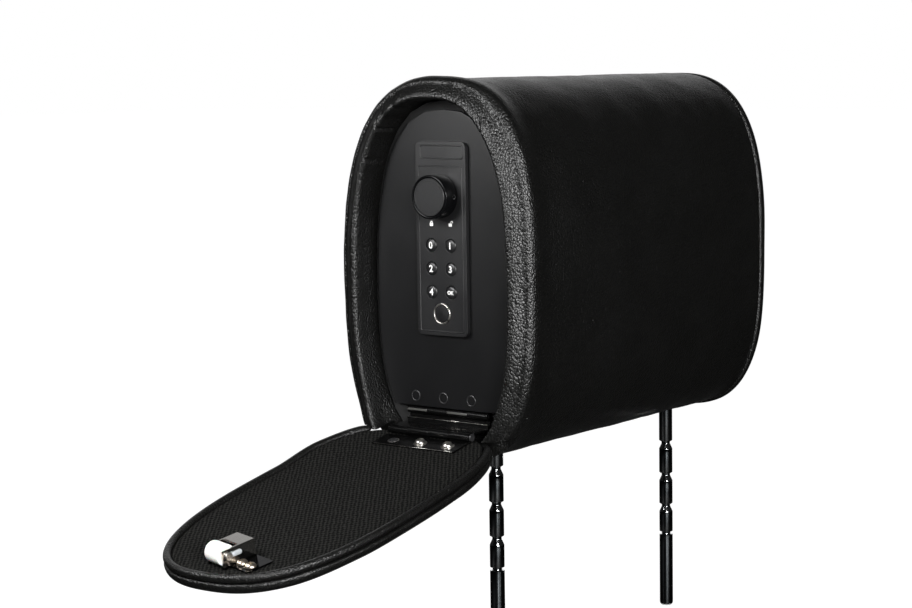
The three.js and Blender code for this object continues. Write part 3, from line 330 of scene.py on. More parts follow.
def swell(piece, amount_mm, width_mm, seed):
    """Moves each point along its normal by smooth noise, as foam does under leather."""
    normals = [v.normal.copy() for v in piece.data.vertices]
    shift = Vector((seed * 7.3, seed * 3.1, seed * 5.7))
    for vertex, normal in zip(piece.data.vertices, normals):
        vertex.co += normal * (amount_mm * 0.001 * noise.noise(vertex.co * (1000 / width_mm) + shift))


DOOR_FACE = -141.5
BODY = dict(half=77.3, up=129, down=125, mid_y=15.7, mid_z=125, rear=2.4, front=2.75, low=2.95)
WRAP = {**BODY, "down": 123}
ARCH = dict(mid_y=15.7, mid_z=115, rear=2.55, front=2.55, low=2.55)
RECESS = dict(half=61.8, up=125.3, down=112, floor=19.5, **ARCH)
BOX = dict(half=54, up=115.5, down=109, floor=37, **ARCH)
DOOR_AXIS = (-140, 32.3)    # X and Z of the door's hinge
BOX_START, WRAP_END, PANEL_FACE, BODY_END = -134.4, 144.5, 145.5, 157.5
# Section of the rim: share of the way from the recess to the side, and X. A crest by the recess,
# a broad face that slopes back, a narrow dip, and a ridge that stands out past the side.
RIM_SECTION = (
    (0.035, -150.0), (0.035, -153.5), (0.037, -156.0), (0.055, -158.1), (0.1, -159.5), (0.18, -160.0),
    (0.27, -159.8), (0.38, -159.0), (0.5, -157.7), (0.62, -156.2), (0.73, -154.9), (0.81, -154.3),
    (0.88, -154.4), (0.94, -153.9), (1.0, -153.0), (1.06, -151.8), (1.11, -150.0), (1.13, -147.4),
    (1.12, -144.2), (1.08, -140.4), (1.03, -135.5), (1.0, -130.0),
)
RIM_STEPS, RIM_BLUR = 64, 0.55      # rings drawn through the section, and how far each point reaches
# Creases where the leather gathers on the rim: place in Y and Z, turn from the radius in degrees,
# length, depth and half width in mm
CREASES = (
    (-8.5, 238.6, 6, 5.5, 1.5, 0.7), (-28.2, 226.4, -24, 5.5, 1.5, 0.7), (57.5, 223.5, 12, 5.0, 1.5, 0.8),
    (52.5, 231.0, 4, 12.0, 0.8, 2.6), (44.0, 238.0, -6, 12.0, 0.7, 2.4), (66.0, 199.0, 0, 6.0, 0.7, 1.4),
    (66.0, 99.0, 0, 3.0, 1.2, 0.8),
)
ROUND = 400                         # points round the body
inner, outer = outline(RECESS, 0, ROUND), outline(WRAP, 0, ROUND)


def between(share):
    """The outline that lies this share of the way from the recess to the body's side."""
    return inner + share * (outer - inner)


WALL_STEPS = 6
lip_share, lip_x = RIM_SECTION[0]
rings = []
for i, x in enumerate(np.linspace(BOX_START, lip_x, WALL_STEPS + 1)):
    rings.append(ring(x, between(lip_share * i / WALL_STEPS)))
knots = np.arange(len(RIM_SECTION))
for at in np.linspace(0, len(RIM_SECTION) - 1, RIM_STEPS)[1:]:
    near = np.exp(-((knots - at) / RIM_BLUR) ** 2)
    share, x = (near[:, None] * np.array(RIM_SECTION)).sum(0) / near.sum()
    rings.append(ring(x, between(share)))
TUCK, SIDE_START = 3.2, -127.0
for x in np.linspace(SIDE_START, WRAP_END - TUCK, 56):
    rings.append(ring(x, outer))
for i in range(1, 6):
    angle = i / 5 * math.pi / 2
    rolled = outline(WRAP, TUCK * (1 - math.cos(angle)), ROUND)
    rings.append(ring(WRAP_END - TUCK + TUCK * math.sin(angle), rolled))
core = outline(BOX, -0.3, ROUND)
for x, points in ((WRAP_END, outline(WRAP, 12, ROUND)), (WRAP_END, core), (BOX_START, core)):
    rings.append(ring(x, points))
body_leather = skin("body_leather", rings, leather, hoop=True)
swell(body_leather, 0.55, 34, 1)
swell(body_leather, 0.25, 13, 2)


def ramp(value, start, end):
    """0 up to the start, 1 from the end on, and straight between them."""
    return min(1.0, max(0.0, (value - start) / (end - start)))


def rows_of(piece, what="co"):
    """The places, or the normals, of a piece's vertices as rows of three numbers."""
    flat = np.empty(len(piece.data.vertices) * 3)
    piece.data.vertices.foreach_get(what, flat)
    return flat.reshape(-1, 3)


def make_room(piece, panel, axis_x, axis_z):
    """Presses the leather clear of the corners that the opened door swings into it."""
    mid_y, clearance = BODY["mid_y"], 1.4
    rim = rows_of(panel) * 1000
    half = np.abs(rim[:, 1] - mid_y)
    for vertex in piece.data.vertices:
        x, y, z = vertex.co * 1000
        aside = abs(y - mid_y)
        if x < -145 and abs(z - axis_z) < 8 and aside > 25:
            beside = (np.abs(rim[:, 2] - (axis_z + axis_x - x)) < 4) & (half > 25)
            short = half[beside].max(initial=0) + clearance - aside
            if 0 < short < 9:
                vertex.co.y += math.copysign(short * ramp(abs(z - axis_z), 8, 4), y - mid_y) / 1000


# The rim's rear lower corner stands out fuller than the rest.
FULL_MID, FULL_WIDTH = (69, 20), 17     # its place in Y and Z, and how wide it spreads
FULL_OUT = Vector((0.0012, 0.0052, -0.0046))
for vertex in body_leather.data.vertices:
    x, y, z = vertex.co * 1000
    near_corner = math.exp(-((y - FULL_MID[0]) ** 2 + (z - FULL_MID[1]) ** 2) / FULL_WIDTH ** 2)
    vertex.co += FULL_OUT * near_corner * ramp(x, -128, -148)
make_room(body_leather, bpy.data.objects["door_plate"], *DOOR_AXIS)


def gather(piece, creases):
    """Presses creases into the rim, outward from its inner edge, on a mesh made finer there."""
    for _ in range(2):
        spots = rows_of(piece) * 1000
        near = np.zeros(len(spots), bool)
        for y, z, _, length, _, _ in creases:
            near |= (spots[:, 0] < -140) & (np.hypot(spots[:, 1] - y, spots[:, 2] - z) < length + 4)
        ends = np.empty(len(piece.data.edges) * 2, int)
        piece.data.edges.foreach_get("vertices", ends)
        fine = bmesh.new()
        fine.from_mesh(piece.data)
        fine.edges.ensure_lookup_table()
        close = [fine.edges[k] for k in np.flatnonzero(near[ends.reshape(-1, 2)].all(1))]
        bmesh.ops.subdivide_edges(fine, edges=close, cuts=1, use_grid_fill=True)
        fine.to_mesh(piece.data)
        fine.free()
    piece.data.update()
    spots, normals = rows_of(piece) * 1000, rows_of(piece, "normal")
    for y, z, turn, length, deep, half_width in creases:
        angle = math.atan2(z - BODY["mid_z"], y - BODY["mid_y"]) + math.radians(turn)
        off_y, off_z = spots[:, 1] - y, spots[:, 2] - z
        along = off_y * math.cos(angle) + off_z * math.sin(angle)
        aside = np.abs(off_z * math.cos(angle) - off_y * math.sin(angle))
        near = (spots[:, 0] < -140) & (aside < 5 * half_width) & (along < length) & (along > -8)
        banks = np.exp(-((aside - 2.2 * half_width) / half_width) ** 2)
        line = np.exp(-(aside / half_width) ** 2) - 0.12 * banks
        press = deep * line * (1 - np.clip(along / length, 0, 1) ** 1.5) * near
        spots -= normals * press[:, None]
    piece.data.vertices.foreach_set("co", (spots / 1000).ravel())
    piece.data.update()


gather(body_leather, CREASES)


def box_cutter(name, low, high):
    """A plain block that only cuts, given by two corners in mm."""
    corners = [(x, y, z) for x in (low[0], high[0]) for y in (low[1], high[1]) for z in (low[2], high[2])]
    sides = [(0, 1, 3, 2), (4, 6, 7, 5), (0, 4, 5, 1), (2, 3, 7, 6), (0, 2, 6, 4), (1, 5, 7, 3)]
    return mesh_piece(name, corners, sides, leather)


COVER_OPEN, COVER_AXIS = 102, (-161.0, 21.8)
droop = math.radians(COVER_OPEN - 90)
chin = DOOR_FACE + 1.5


def under_cover(x):
    """Height of the plane that the open cover leaves free below the rim."""
    return COVER_AXIS[1] - 3.0 / math.cos(droop) + (x - COVER_AXIS[0]) * math.tan(droop)


# Room cut in the underside: a wedge for the open cover, a channel for the rail and two post holes.
wedge_side = ((-185, under_cover(-185)), (-185, -80), (chin, -80), (chin, under_cover(chin)))
wedge_points = [(x, y, z) for y in (-140, 175) for x, z in wedge_side]
wedge_faces = [(0, 1, 2, 3), (4, 7, 6, 5), (0, 4, 5, 1), (1, 5, 6, 2), (2, 6, 7, 3), (3, 7, 4, 0)]
wedge = mesh_piece("wedge", wedge_points, wedge_faces, leather)
rail_room = box_cutter("rail_room", (-120.3, -11.2, 8.5), (120.3, 11.2, 38))
post_rooms = []
for x in (-109, 109):
    angles = turns(24)
    circle = np.column_stack([x + 8.4 * np.cos(angles), 8.4 * np.sin(angles)])
    ends = [np.column_stack([circle, np.full(24, z)]) for z in (-20, 20)]
    post_rooms.append(skin("post_room", ends, leather))
carve(body_leather, [wedge, rail_room, *post_rooms])
body_leather.data.polygons.foreach_set("use_smooth", [True] * len(body_leather.data.polygons))
body_leather.data.set_sharp_from_angle(angle=math.radians(50))
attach(body_leather, "body")
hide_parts("leather_wrap", "foam_wrap")

# Padded end panel: the same leather stretched over foam on a moulded board, its edge rolled in
# towards the open seam where it meets the body.
rings = [ring(PANEL_FACE + 3.3, outline(BODY, 30)), ring(PANEL_FACE + 3.3, outline(BODY, 2.2)),
         ring(PANEL_FACE, outline(BODY, 2.0))]
for i in range(1, 6):
    angle = i / 5 * math.pi / 2
    rings.append(ring(PANEL_FACE + 2.2 - 2.2 * math.cos(angle), outline(BODY, 2.0 * (1 - math.sin(angle)))))
for i in range(1, 13):
    angle = i / 12 * math.pi / 2
    rings.append(ring(BODY_END - 8 + 7 * math.sin(angle), outline(BODY, 7.5 * (1 - math.cos(angle)))))
for inset, up in ((12, 0.45), (20, 0.75), (32, 0.95), (46, 1.0), (60, 1.0)):
    rings.append(ring(BODY_END - 1 + up, outline(BODY, inset)))
end_panel = skin("end_panel_leather", rings, leather)
swell(end_panel, 0.4, 40, 3)
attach(end_panel, "body")
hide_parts("end_leather", "end_foam")

# Steel safe: a welded sheet tube and back, with the rail and sleeves for the posts, in baked
# polyester powder: near black and satin, with a fine orange peel and faint clouds. Its door frame
# is coloured matt near black instead: painted shade for the deep gap round the door.
ORANGE_PEEL_MM = 1.1
powder_coat, tree, shader, place = start_material(
    "satin_black_powder_coat", IOR=1.5, Specular_IOR_Level=0.45)
peel = cloudy(tree, place, 1000 / ORANGE_PEEL_MM, 1.5, 0.45)
clouds = cloudy(tree, place, 22.0, 4.0, 0.6)
tint = tones(tree, clouds, "#0c0c0d", "#111112")
gloss = spread(tree, clouds, 0.33, 0.38)
texture = add(tree, "Bump", {"Strength": 0.35, "Distance": 0.00008, "Height": peel})
wire(shader, Base_Color=tint, Roughness=gloss, Normal=texture)


def dress(node, material, edge_mm=0.3, steps=2):
    """Gives a carried-over part its finish, with its edges broken as a real one's are."""
    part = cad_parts[node]
    if "custom_normal" in part.data.attributes:
        part.data.attributes.remove(part.data.attributes["custom_normal"])
    part.data.materials.clear()
    part.data.materials.append(material)
    part.data.polygons.foreach_set("use_smooth", [True] * len(part.data.polygons))
    part.data.polygons.foreach_set("material_index", [0] * len(part.data.polygons))
    weld = part.modifiers.new("weld", "WELD")
    weld.merge_threshold = 1e-6
    if edge_mm:
        bevel = part.modifiers.new("edge", "BEVEL")
        bevel.width = edge_mm / 1000
        bevel.segments = steps
        bevel.limit_method = "ANGLE"
        bevel.angle_limit = math.radians(35)
    even = part.modifiers.new("even", "WEIGHTED_NORMAL")
    even.keep_sharp = True
    return part


def mottled(name, scale, dark, light, gloss=None, bump=None, detail=2.0, coarse=0.5, **sockets):
    """A material whose colour, and roughness and bump where given, follow one noise."""
    made, made_tree, made_shader, spot = start_material(name, **sockets)
    cloud = cloudy(made_tree, spot, scale, detail, coarse)
    wire(made_shader, Base_Color=tones(made_tree, cloud, dark, light))
    if gloss:
        wire(made_shader, Roughness=spread(made_tree, cloud, *gloss))
    if bump:
        relief = add(made_tree, "Bump", {"Strength": bump[0], "Distance": bump[1], "Height": cloud})
        wire(made_shader, Normal=relief)
    return made


# Painted shade: the door frame is matt near black to stand for the deep shadow in the gap round the door.
door_gap_shade = mottled("painted_shade_door_frame", 900.0, "#060606", "#0e0e0e", Roughness=0.8, IOR=1.5)
dress("door_frame", door_gap_shade)
for node in ("safe_shell", "safe_back", "post_rail", "post_sleeve_near", "post_sleeve_far"):
    dress(node, powder_coat)

# Hinge leaves and the bracket: folded steel, black stove enamel, glossy and near black, with a
# painted grey highlight along the fixed knuckles of the door's hinge, just above its axis.
hinge_pin = (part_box("door_hinge_pin")[0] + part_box("door_hinge_pin")[1]) / 2
enamel, tree, shader, place = start_material("black_stove_enamel", IOR=1.5)
flow = cloudy(tree, place, 60.0, 1.0)
off_axis = calc(tree, "MULTIPLY", place, (1, 0, 1), kind="VectorMath")
pin_middle = (hinge_pin[0], 0, hinge_pin[2])
off_axis = calc(tree, "DISTANCE", off_axis, pin_middle, kind="VectorMath")
height = add(tree, "SeparateXYZ", {0: place})
# Painted highlight: a grey band round the knuckles, on a thin line just above the pin's axis.
from_line = calc(tree, "SUBTRACT", height.outputs["Z"], hinge_pin[2] + 0.0004)
from_line = calc(tree, "ABSOLUTE", from_line)
near_line = add(tree, "MapRange", {0: from_line, 1: 0.0005, 2: 0.0008, 3: 1.0, 4: 0.0})
knuckle_highlight = add(tree, "MapRange", {0: off_axis.outputs["Value"], 1: 0.0027, 2: 0.0033, 3: 1.0, 4: 0.0})
knuckle_highlight = calc(tree, "MULTIPLY", knuckle_highlight, near_line)
tint = tones(tree, knuckle_highlight, "#050505", "#484846")
gloss = spread(tree, flow, 0.2, 0.23)
wire(shader, Base_Color=tint, Roughness=gloss)
dress("door_hinge_leaf", enamel)
# The same enamel without the painted highlight, for the other leaves and the bracket.
enamel_without_highlight = enamel.copy()
enamel_without_highlight.name = "black_stove_enamel_without_highlight"
enamel_without_highlight.node_tree.nodes[tint.name].inputs[2].default_value = linear("#090909")
for node in ("door_leaf", "cover_hinge_bracket", "cover_leaf"):
    dress(node, enamel_without_highlight)

# Lining of the safe: grey felt glued inside the tube. Needled polyester felt: no shine, a
# tangle of fibres and a pale fuzz at a low angle.
FIBRE_MM = 0.9
felt = mottled("needled_charcoal_felt", 1000 / FIBRE_MM, "#222223", "#3a3a3b", bump=(0.6, 0.0003),
               detail=3.0, coarse=0.7, Roughness=0.95, Sheen_Weight=0.3)
dress("compartment_liner", felt, 0)

# End board: black glass-filled polypropylene, moulded, hidden between the box and the end panel.
moulded = mottled("moulded_black_polypropylene", 1400.0, "#141415", "#1c1c1d",
                  bump=(0.25, 0.00005), detail=1.0, Roughness=0.5, IOR=1.49)
dress("end_board", moulded)
dress("cover_board", moulded, 0)


# Posts: drawn steel rod, turned notches with a coned upper side for the seat's catch, polished
# and chromium plated: a clear mirror with the faintest drawing lines along it.
def turned(name, profile, material, place_it=None, sides=64):
    """A body turned round Z from radius and height pairs in mm that start and end on the axis."""
    points, faces = [], []
    angles = turns(sides)
    rows = []
    for radius, height in profile:
        if radius <= 1e-6:
            rows.append([len(points)])
            points.append((0, 0, height))
        else:
            rows.append(list(range(len(points), len(points) + sides)))
            points += [(radius * math.cos(a), radius * math.sin(a), height) for a in angles]
    for low, high in zip(rows, rows[1:]):
        for i in range(sides):
            j = (i + 1) % sides
            if len(low) == 1:
                faces.append((low[0], high[j], high[i]))
            elif len(high) == 1:
                faces.append((low[i], low[j], high[0]))
            else:
                faces.append((low[i], low[j], high[j], high[i]))
    piece = mesh_piece(name, points, faces, material, place_it)
    piece.data.set_sharp_from_angle(angle=math.radians(38))
    return piece


# The upright rod is tinted darker than the cones, to stand for a dark room mirrored in it.
chrome, tree, shader, place = start_material("polished_chrome_plate", Metallic=1.0)
drawn = add(tree, "Mapping", {"Vector": place, "Scale": (900, 900, 20)})
lines = cloudy(tree, drawn, 1.0)
gloss = spread(tree, lines, 0.05, 0.1)
facing = add(tree, "NewGeometry")
facing = add(tree, "SeparateXYZ", {0: facing.outputs["Normal"]})
facing = calc(tree, "ABSOLUTE", facing.outputs["Z"])
cones = add(tree, "MapRange", {0: facing, 1: 0.12, 2: 0.5, 3: 0.0, 4: 1.0})
tint = tones(tree, cones, "#5a5e60", "#dfe1e2")
wire(shader, Roughness=gloss, Base_Color=tint)

POST_LENGTH, POST_FOOT, NEAR_POST_UP = 167, -150, 15.7
NOTCHES = (56.5, 77.5, 101.3, 125.8)
for name, x, foot in (("near", -109, POST_FOOT + NEAR_POST_UP), ("far", 109, POST_FOOT)):
    profile = [(0, 0), (2.4, 0), (3.3, 0.25), (4.2, 0.8), (4.75, 1.7), (5.0, 2.8)]
    for i, height in enumerate(NOTCHES):
        cone, lip = (0.3, 0.3) if i == 0 else (3.6, 0.9)
        profile += [(5.0, height - 0.8 - cone - 0.4), (4.93, height - 0.8 - cone)]
        profile += [(3.3, height - 0.8), (3.2, height - 0.5), (3.2, height + 0.5), (3.3, height + 0.8)]
        profile += [(4.8, height + 0.8 + lip), (5.0, height + 1.1 + lip)]
    profile += [(5.0, POST_LENGTH - 1), (4, POST_LENGTH), (0, POST_LENGTH)]
    post = turned(f"post_{name}_chromed", profile, chrome, Matrix.Translation((x / 1000, 0, foot / 1000)))
    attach(post, "body")
    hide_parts(f"post_{name}")

# Small steel: the bolts and the lock spindle are zinc plated and passivated, bright and a little
# cloudy, with a cool cast. The hinge pins are dark with black oxide.
zinc = mottled("bright_zinc_plate", 260.0, "#a9abac", "#c6c7c6", (0.22, 0.36),
               detail=3.0, coarse=0.6, Metallic=1.0)
for node in ("bolt_rear", "bolt_front", "lock_spindle"):
    dress(node, zinc, 0.15)
blackened = mottled("black_oxide_steel", 400.0, "#1c1c1d", "#2b2b2c", (0.26, 0.4), detail=3.0,
                    Metallic=0.0, Specular_IOR_Level=0.8)
for node in ("door_hinge_pin", "cover_hinge_pin"):
    dress(node, blackened, 0.12)

# Door: a flat steel plate in the same powder coat, riveted to its hinge leaf with flush rivets
# that show as fine rings.
ON_DOOR = Matrix(((0, 0, -1), (-1, 0, 0), (0, 1, 0))).to_4x4()


def door_place(x, y, z):
    """A place on the door whose own X runs right and Y up, as seen by who stands before it."""
    return Matrix.Translation((x / 1000, y / 1000, z / 1000)) @ ON_DOOR


def revolved(name, section, material, place_it, sides):
    """A ring turned round Z from a closed section of radius and height pairs in mm."""
    angles = turns(sides)
    rounds = [np.column_stack([r * np.cos(angles), r * np.sin(angles), np.full(sides, h)])
              for r, h in section]
    return skin(name, rounds, material, hoop=True, place_it=place_it)


COLLAR = ((3.0, 0.0), (3.1, 0.28), (3.4, 0.34), (3.65, 0.2), (3.75, 0.0))
dress("door_plate", powder_coat, 0.35, 3)
for i in (1, 2, 3):
    dress(f"door_rivet_{i}", powder_coat, 0.12)
    middle = (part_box(f"door_rivet_{i}")[0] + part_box(f"door_rivet_{i}")[1]) * 500
    place_it = door_place(DOOR_FACE + 0.02, middle[1], middle[2])
    collar = revolved(f"door_rivet_collar_{i}", COLLAR, blackened, place_it, 40)
    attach(collar, "door")

# Lock housing and battery tray: moulded ABS behind the door; a shrink-wrapped cell pack in it.
dress("lock_case", moulded)
sleeve = mottled("grey_pvc_shrink_sleeve", 120.0, "#474b52", "#565b63", bump=(0.4, 0.0003),
                 Roughness=0.35, IOR=1.53)
dress("battery_pack", sleeve, 0)
lacquer, tree, shader, place = start_material("green_solder_lacquer", Roughness=0.3, IOR=1.5)
tracks = add(tree, "TexWave", {"Vector": place, "Scale": 180.0, "Distortion": 3.0})
tint = tones(tree, tracks.outputs["Fac"], "#14532a", "#1d6a38")
wire(shader, Base_Color=tint)
dress("key_board", lacquer, 0)

# Fascia: a long ABS strip that carries the knob and the keys, with one raised line at its top and
# another round the keys. Injection moulded against a spark-eroded tool: fine, even, satin.
SPARK_MM = 0.5
abs_satin, tree, shader, place = start_material("satin_black_abs", IOR=1.54)
spark = cloudy(tree, place, 1000 / SPARK_MM, 1.0)
wear = cloudy(tree, place, 60.0, 3.0)
tint = tones(tree, spark, "#141415", "#19191a")
gloss = spread(tree, wear, 0.34, 0.44)
eroded = add(tree, "Bump", {"Strength": 0.3, "Distance": 0.00005, "Height": spark})
wire(shader, Base_Color=tint, Roughness=gloss, Normal=eroded)
dress("lock_fascia", abs_satin, 1.2, 4)

STRIP_FACE = DOOR_FACE - 3.6


def rounded_rect(y0, y1, z0, z1, radius, steps=6):
    """Points of a rectangle with round corners, in Y and Z."""
    points = []
    corners = ((y1 - radius, z1 - radius), (y0 + radius, z1 - radius),
               (y0 + radius, z0 + radius), (y1 - radius, z0 + radius))
    for quarter, (y, z) in enumerate(corners):
        for i in range(steps + 1):
            angle = (quarter + i / steps) * math.pi / 2
            points.append((y + radius * math.cos(angle), z + radius * math.sin(angle)))
    return np.array(points)


def raised_line(name, y0, y1, z0, z1, radius, width, proud):
    """A half-round moulded line along a rounded rectangle, sunk a hair into the strip."""
    sections = []
    for i in range(7):
        angle = i / 6 * math.pi
        inset = width / 2 * (1 - math.cos(angle))
        sections.append(ring(STRIP_FACE + 0.05 - (proud + 0.05) * math.sin(angle),
                             rounded_rect(y0 + inset, y1 - inset, z0 + inset, z1 - inset, radius - inset)))
    line = skin(name, sections, abs_satin, hoop=True)
    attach(line, "door")


raised_line("fascia_line_top", -3.2, 32.6, 201.5, 210.8, 1.6, 0.9, 0.42)
raised_line("fascia_line_keys", -2.4, 34.3, 87.0, 197.2, 1.6, 0.9, 0.42)

# Keys: black ABS buttons in round holes, with a domed face and the digit printed in white.
print_white = mottled("pad_printed_white_ink", 900.0, "#d5d5d3", "#f2f2f0", Roughness=0.55)


def printed(name, text, height_mm, place_it, body):
    """A word or digit as a thin layer of ink."""
    curve = bpy.data.curves.new(name, "FONT")
    curve.body = text
    curve.size = height_mm / 0.7 / 1000
    curve.align_x = "CENTER"
    curve.align_y = "CENTER"
    curve.extrude = 0.00003
    curve.offset = 0.00012
    curve.resolution_u = 4
    lettering = bpy.data.objects.new(name + "_curve", curve)
    into_scene(lettering)
    bpy.context.view_layer.update()
    mesh = bpy.data.meshes.new_from_object(lettering.evaluated_get(bpy.context.evaluated_depsgraph_get()))
    bpy.data.objects.remove(lettering)
    spots = np.array([v.co for v in mesh.vertices])
    mesh.transform(Matrix.Translation(-Vector((spots.min(0) + spots.max(0)) / 2)))
    mesh.transform(place_it)
    mesh.materials.clear()
    mesh.materials.append(print_white)
    ink = bpy.data.objects.new(name, mesh)
    into_scene(ink)
    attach(ink, body)


KEY_COLUMN, KEY_ROW, KEY_MID_Y, KEY_TOP_Z, KEY_FACE = 16, 15.5, 16.0, 144.6, STRIP_FACE - 0.8
key_profile = [(0, 0.0), (1.6, -0.04), (2.6, -0.15), (3.3, -0.32), (3.8, -0.56), (4.15, -0.9),
               (4.3, -1.3), (4.3, -2.9), (0, -2.9)]
for i, label in enumerate(("0", "1", "2", "3", "4", "OK")):
    y = KEY_MID_Y + (KEY_COLUMN / 2 if i % 2 == 0 else -KEY_COLUMN / 2)
    z = KEY_TOP_Z - KEY_ROW * (i // 2)
    body = "key_" + label.lower()
    cap = turned(f"keycap_{label.lower()}", key_profile, abs_satin, door_place(KEY_FACE, y, z), 40)
    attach(cap, body)
    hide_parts(body)
    size = 2.4 if label == "OK" else 4.3
    printed(f"print_{label.lower()}", label, size, door_place(KEY_FACE - 0.02, y, z), body)

# Lock signs: plain open and shut padlocks printed under the knob, for the way that it turns.
for name, y, z, lifted in (("sign_shut", 23.6, 158.8, 0.0), ("sign_open", 8.0, 158.8, 1.0)):
    case = rounded_rect(-1.35, 1.35, -1.5, 0.6, 0.3, 3).tolist()
    bow_z, free_end = 0.6 + lifted * 0.4 + 0.25, 0.9 if lifted else 0.5
    over = [(0.95 * math.cos(a), bow_z + 1.0 * math.sin(a)) for a in np.linspace(0, math.pi, 9)]
    back = [(0.5 * math.cos(a), bow_z + 0.55 * math.sin(a)) for a in np.linspace(math.pi, 0, 9)]
    bow = [(0.95, free_end), *over, (-0.95, 0.5), (-0.5, 0.5), *back, (0.5, free_end)]
    bow = [(px + 1.25 * lifted, py) for px, py in bow]
    points, faces = [], []
    for shape in (case, bow):
        for depth in (0.0, 0.05):
            points += [(px, py, depth) for px, py in shape]
        first, n = len(points) - 2 * len(shape), len(shape)
        faces.append(tuple(range(first, first + n)))
        faces.append(tuple(range(first + n, first + 2 * n))[::-1])
        faces += [(first + k, first + (k + 1) % n, first + n + (k + 1) % n, first + n + k) for k in range(n)]
    sign = mesh_piece(name, points, faces, print_white, door_place(STRIP_FACE, y, z), False)
    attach(sign, "door")

# Reader: a polished ring round a smoked acrylic window.
satin_nickel = mottled("nickel_plated_steel", 500.0, "#c4c0ba", "#d9d6d1", (0.26, 0.36),
                       detail=3.0, Metallic=1.0)
READER = (16.0, 99.2)
ring_profile = [(5.95, 0.15), (6.05, 0.4), (6.3, 0.58), (6.6, 0.58), (6.9, 0.36), (7.08, 0.0),
                (7.1, -2.6), (5.9, -2.6)]
bezel = revolved("reader_bezel", ring_profile, satin_nickel, door_place(STRIP_FACE, *READER), 72)
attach(bezel, "door")
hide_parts("reader_ring")
acrylic = mottled("smoked_acrylic", 140.0, "#101011", "#171718", (0.32, 0.42), detail=3.0, IOR=1.49)
lens_profile = [(0, 0.1), (4.8, 0.05), (5.6, -0.1), (5.7, -0.3), (5.7, -3.0), (0, -3.0)]
window = turned("reader_lens", lens_profile, acrylic, door_place(STRIP_FACE, *READER), 64)
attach(window, "door")
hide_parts("reader_window")

# Knob: turned aluminium, bead blasted on its face and black anodised, with a smoother side, a
# fine ring where its cap is let in and a grub screw in the side.
BEAD_MM = 0.35
anodised = mottled("black_anodised_aluminium", 1000 / BEAD_MM, "#161617", "#1e1e1f",
                   bump=(0.3, 0.00004), detail=1.0, Metallic=0.15, Roughness=0.42)
turned_side, tree, shader, place = start_material(
    "polished_black_anodising", Metallic=0.0, Specular_IOR_Level=0.16)
lathe = add(tree, "Mapping", {"Vector": place, "Scale": (3000, 60, 60)})
lines = cloudy(tree, lathe, 1.0, 1.0)
gloss = spread(tree, lines, 0.16, 0.26)
tint = tones(tree, lines, "#050506", "#0b0b0c")
wire(shader, Roughness=gloss, Base_Color=tint)
KNOB_FACE = DOOR_FACE - 16.2
knob_place = door_place(KNOB_FACE, 15.7, 177.2)
knob = turned("knob_grip", [
    (4.3, -2.6), (12.5, -1.3), (12.7, -1.3), (12.75, -0.15), (12.95, 0.0), (13.7, 0.0), (14.1, -0.12),
    (14.4, -0.42), (14.5, -0.85), (14.5, -11.6), (14.3, -12.1), (4.3, -12.2),
], turned_side, knob_place, 96)
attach(knob, "knob")
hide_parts("knob_body")
cap = turned("knob_cap", [
    (0, -0.05), (10.9, -0.05), (11.0, -0.2), (11.25, -0.2), (11.35, -0.05), (12.2, -0.05),
    (12.4, -0.25), (12.4, -1.1), (0, -1.1),
], anodised, knob_place, 96)
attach(cap, "knob")
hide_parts("knob_disc")
SIDE = Matrix.Translation((-0.1496, 0.0013, 0.1772)) @ Matrix.Rotation(math.radians(90), 4, "X")
grub_profile = [(0, -0.9), (0.9, -0.9), (0.95, 0.0), (1.35, 0.12), (1.6, -0.05), (1.6, -2.0), (0, -2.0)]
grub = turned("knob_grub_screw", grub_profile, zinc, SIDE, 32)
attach(grub, "knob")

# Cover: moulded board, foam and leather like the body's, with a leather piping cord round its
# edge. It hangs open on its hinge; its tail goes on below the axis to close the gap when shut.
COVER = (Matrix.Translation((COVER_AXIS[0] / 1000, 0, COVER_AXIS[1] / 1000))
         @ Matrix.Rotation(math.radians(-COVER_OPEN), 4, "Y"))
COVER_INSET, LINING_FACE, PIPING, TAIL = 5.9, -3.8, 2.6, -15.0
COVER_SHAPE = {**BODY, "up": 131.8, "mid_z": BODY["mid_z"] - COVER_AXIS[1]}


CURL_UP, CURL_OUT, CURL_HEM = 2.8, 2.0, 8.5


def corner_curl(piece):
    """Lifts and widens the cover's rear corner by the hinge, and draws its hem on past the edge."""
    to_cover = COVER.inverted()
    for vertex in piece.data.vertices:
        spot = to_cover @ vertex.co * 1000
        wide = ramp(spot.y, 42, 76)
        hem = wide * ramp(spot.z, 34, 4)
        near_hinge = ramp(spot.z, 78, 33) * ramp(spot.z, -14, -4)
        share = (wide * wide * (3 - 2 * wide)) * (near_hinge * near_hinge * (3 - 2 * near_hinge))
        curled = Vector((spot.x + CURL_UP * share, spot.y + CURL_OUT * share, spot.z - CURL_HEM * hem))
        vertex.co = COVER @ (curled / 1000)


def cover_ring(x, inset, tail):
    """A ring of the cover, drawn closed: cut straight at its tail."""
    points = outline(COVER_SHAPE, COVER_INSET + inset)
    points[:, 1] = np.maximum(points[:, 1], TAIL + tail)
    return ring(x, points)


rings = [cover_ring(x, inset, tail) for x, inset, tail in (
    (-8.5, 30, 7), (-8.5, 6.2, 5), (-7.4, 5.4, 4), (-6.9, 4.2, 3), (-6.85, 2.4, 1.8), (-7.0, 1.1, 0.8),
    (-7.5, 0.3, 0.25), (-8.2, 0, 0))]
for i in range(1, 13):
    angle = i / 12 * math.pi / 2
    inset = 6.5 * (1 - math.cos(angle))
    rings.append(cover_ring(-8.2 - 6.3 * math.sin(angle), inset, inset))
for inset, down in ((9, 0.2), (14, 0.5), (20, 0.72), (30, 0.8), (45, 0.8)):
    rings.append(cover_ring(-14.5 - down, inset, inset * 0.8))
cover_pad = skin("cover_pad_leather", rings, leather, place_it=COVER)
swell(cover_pad, 0.35, 30, 4)
corner_curl(cover_pad)
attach(cover_pad, "cover")
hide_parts("cover_leather", "cover_foam")

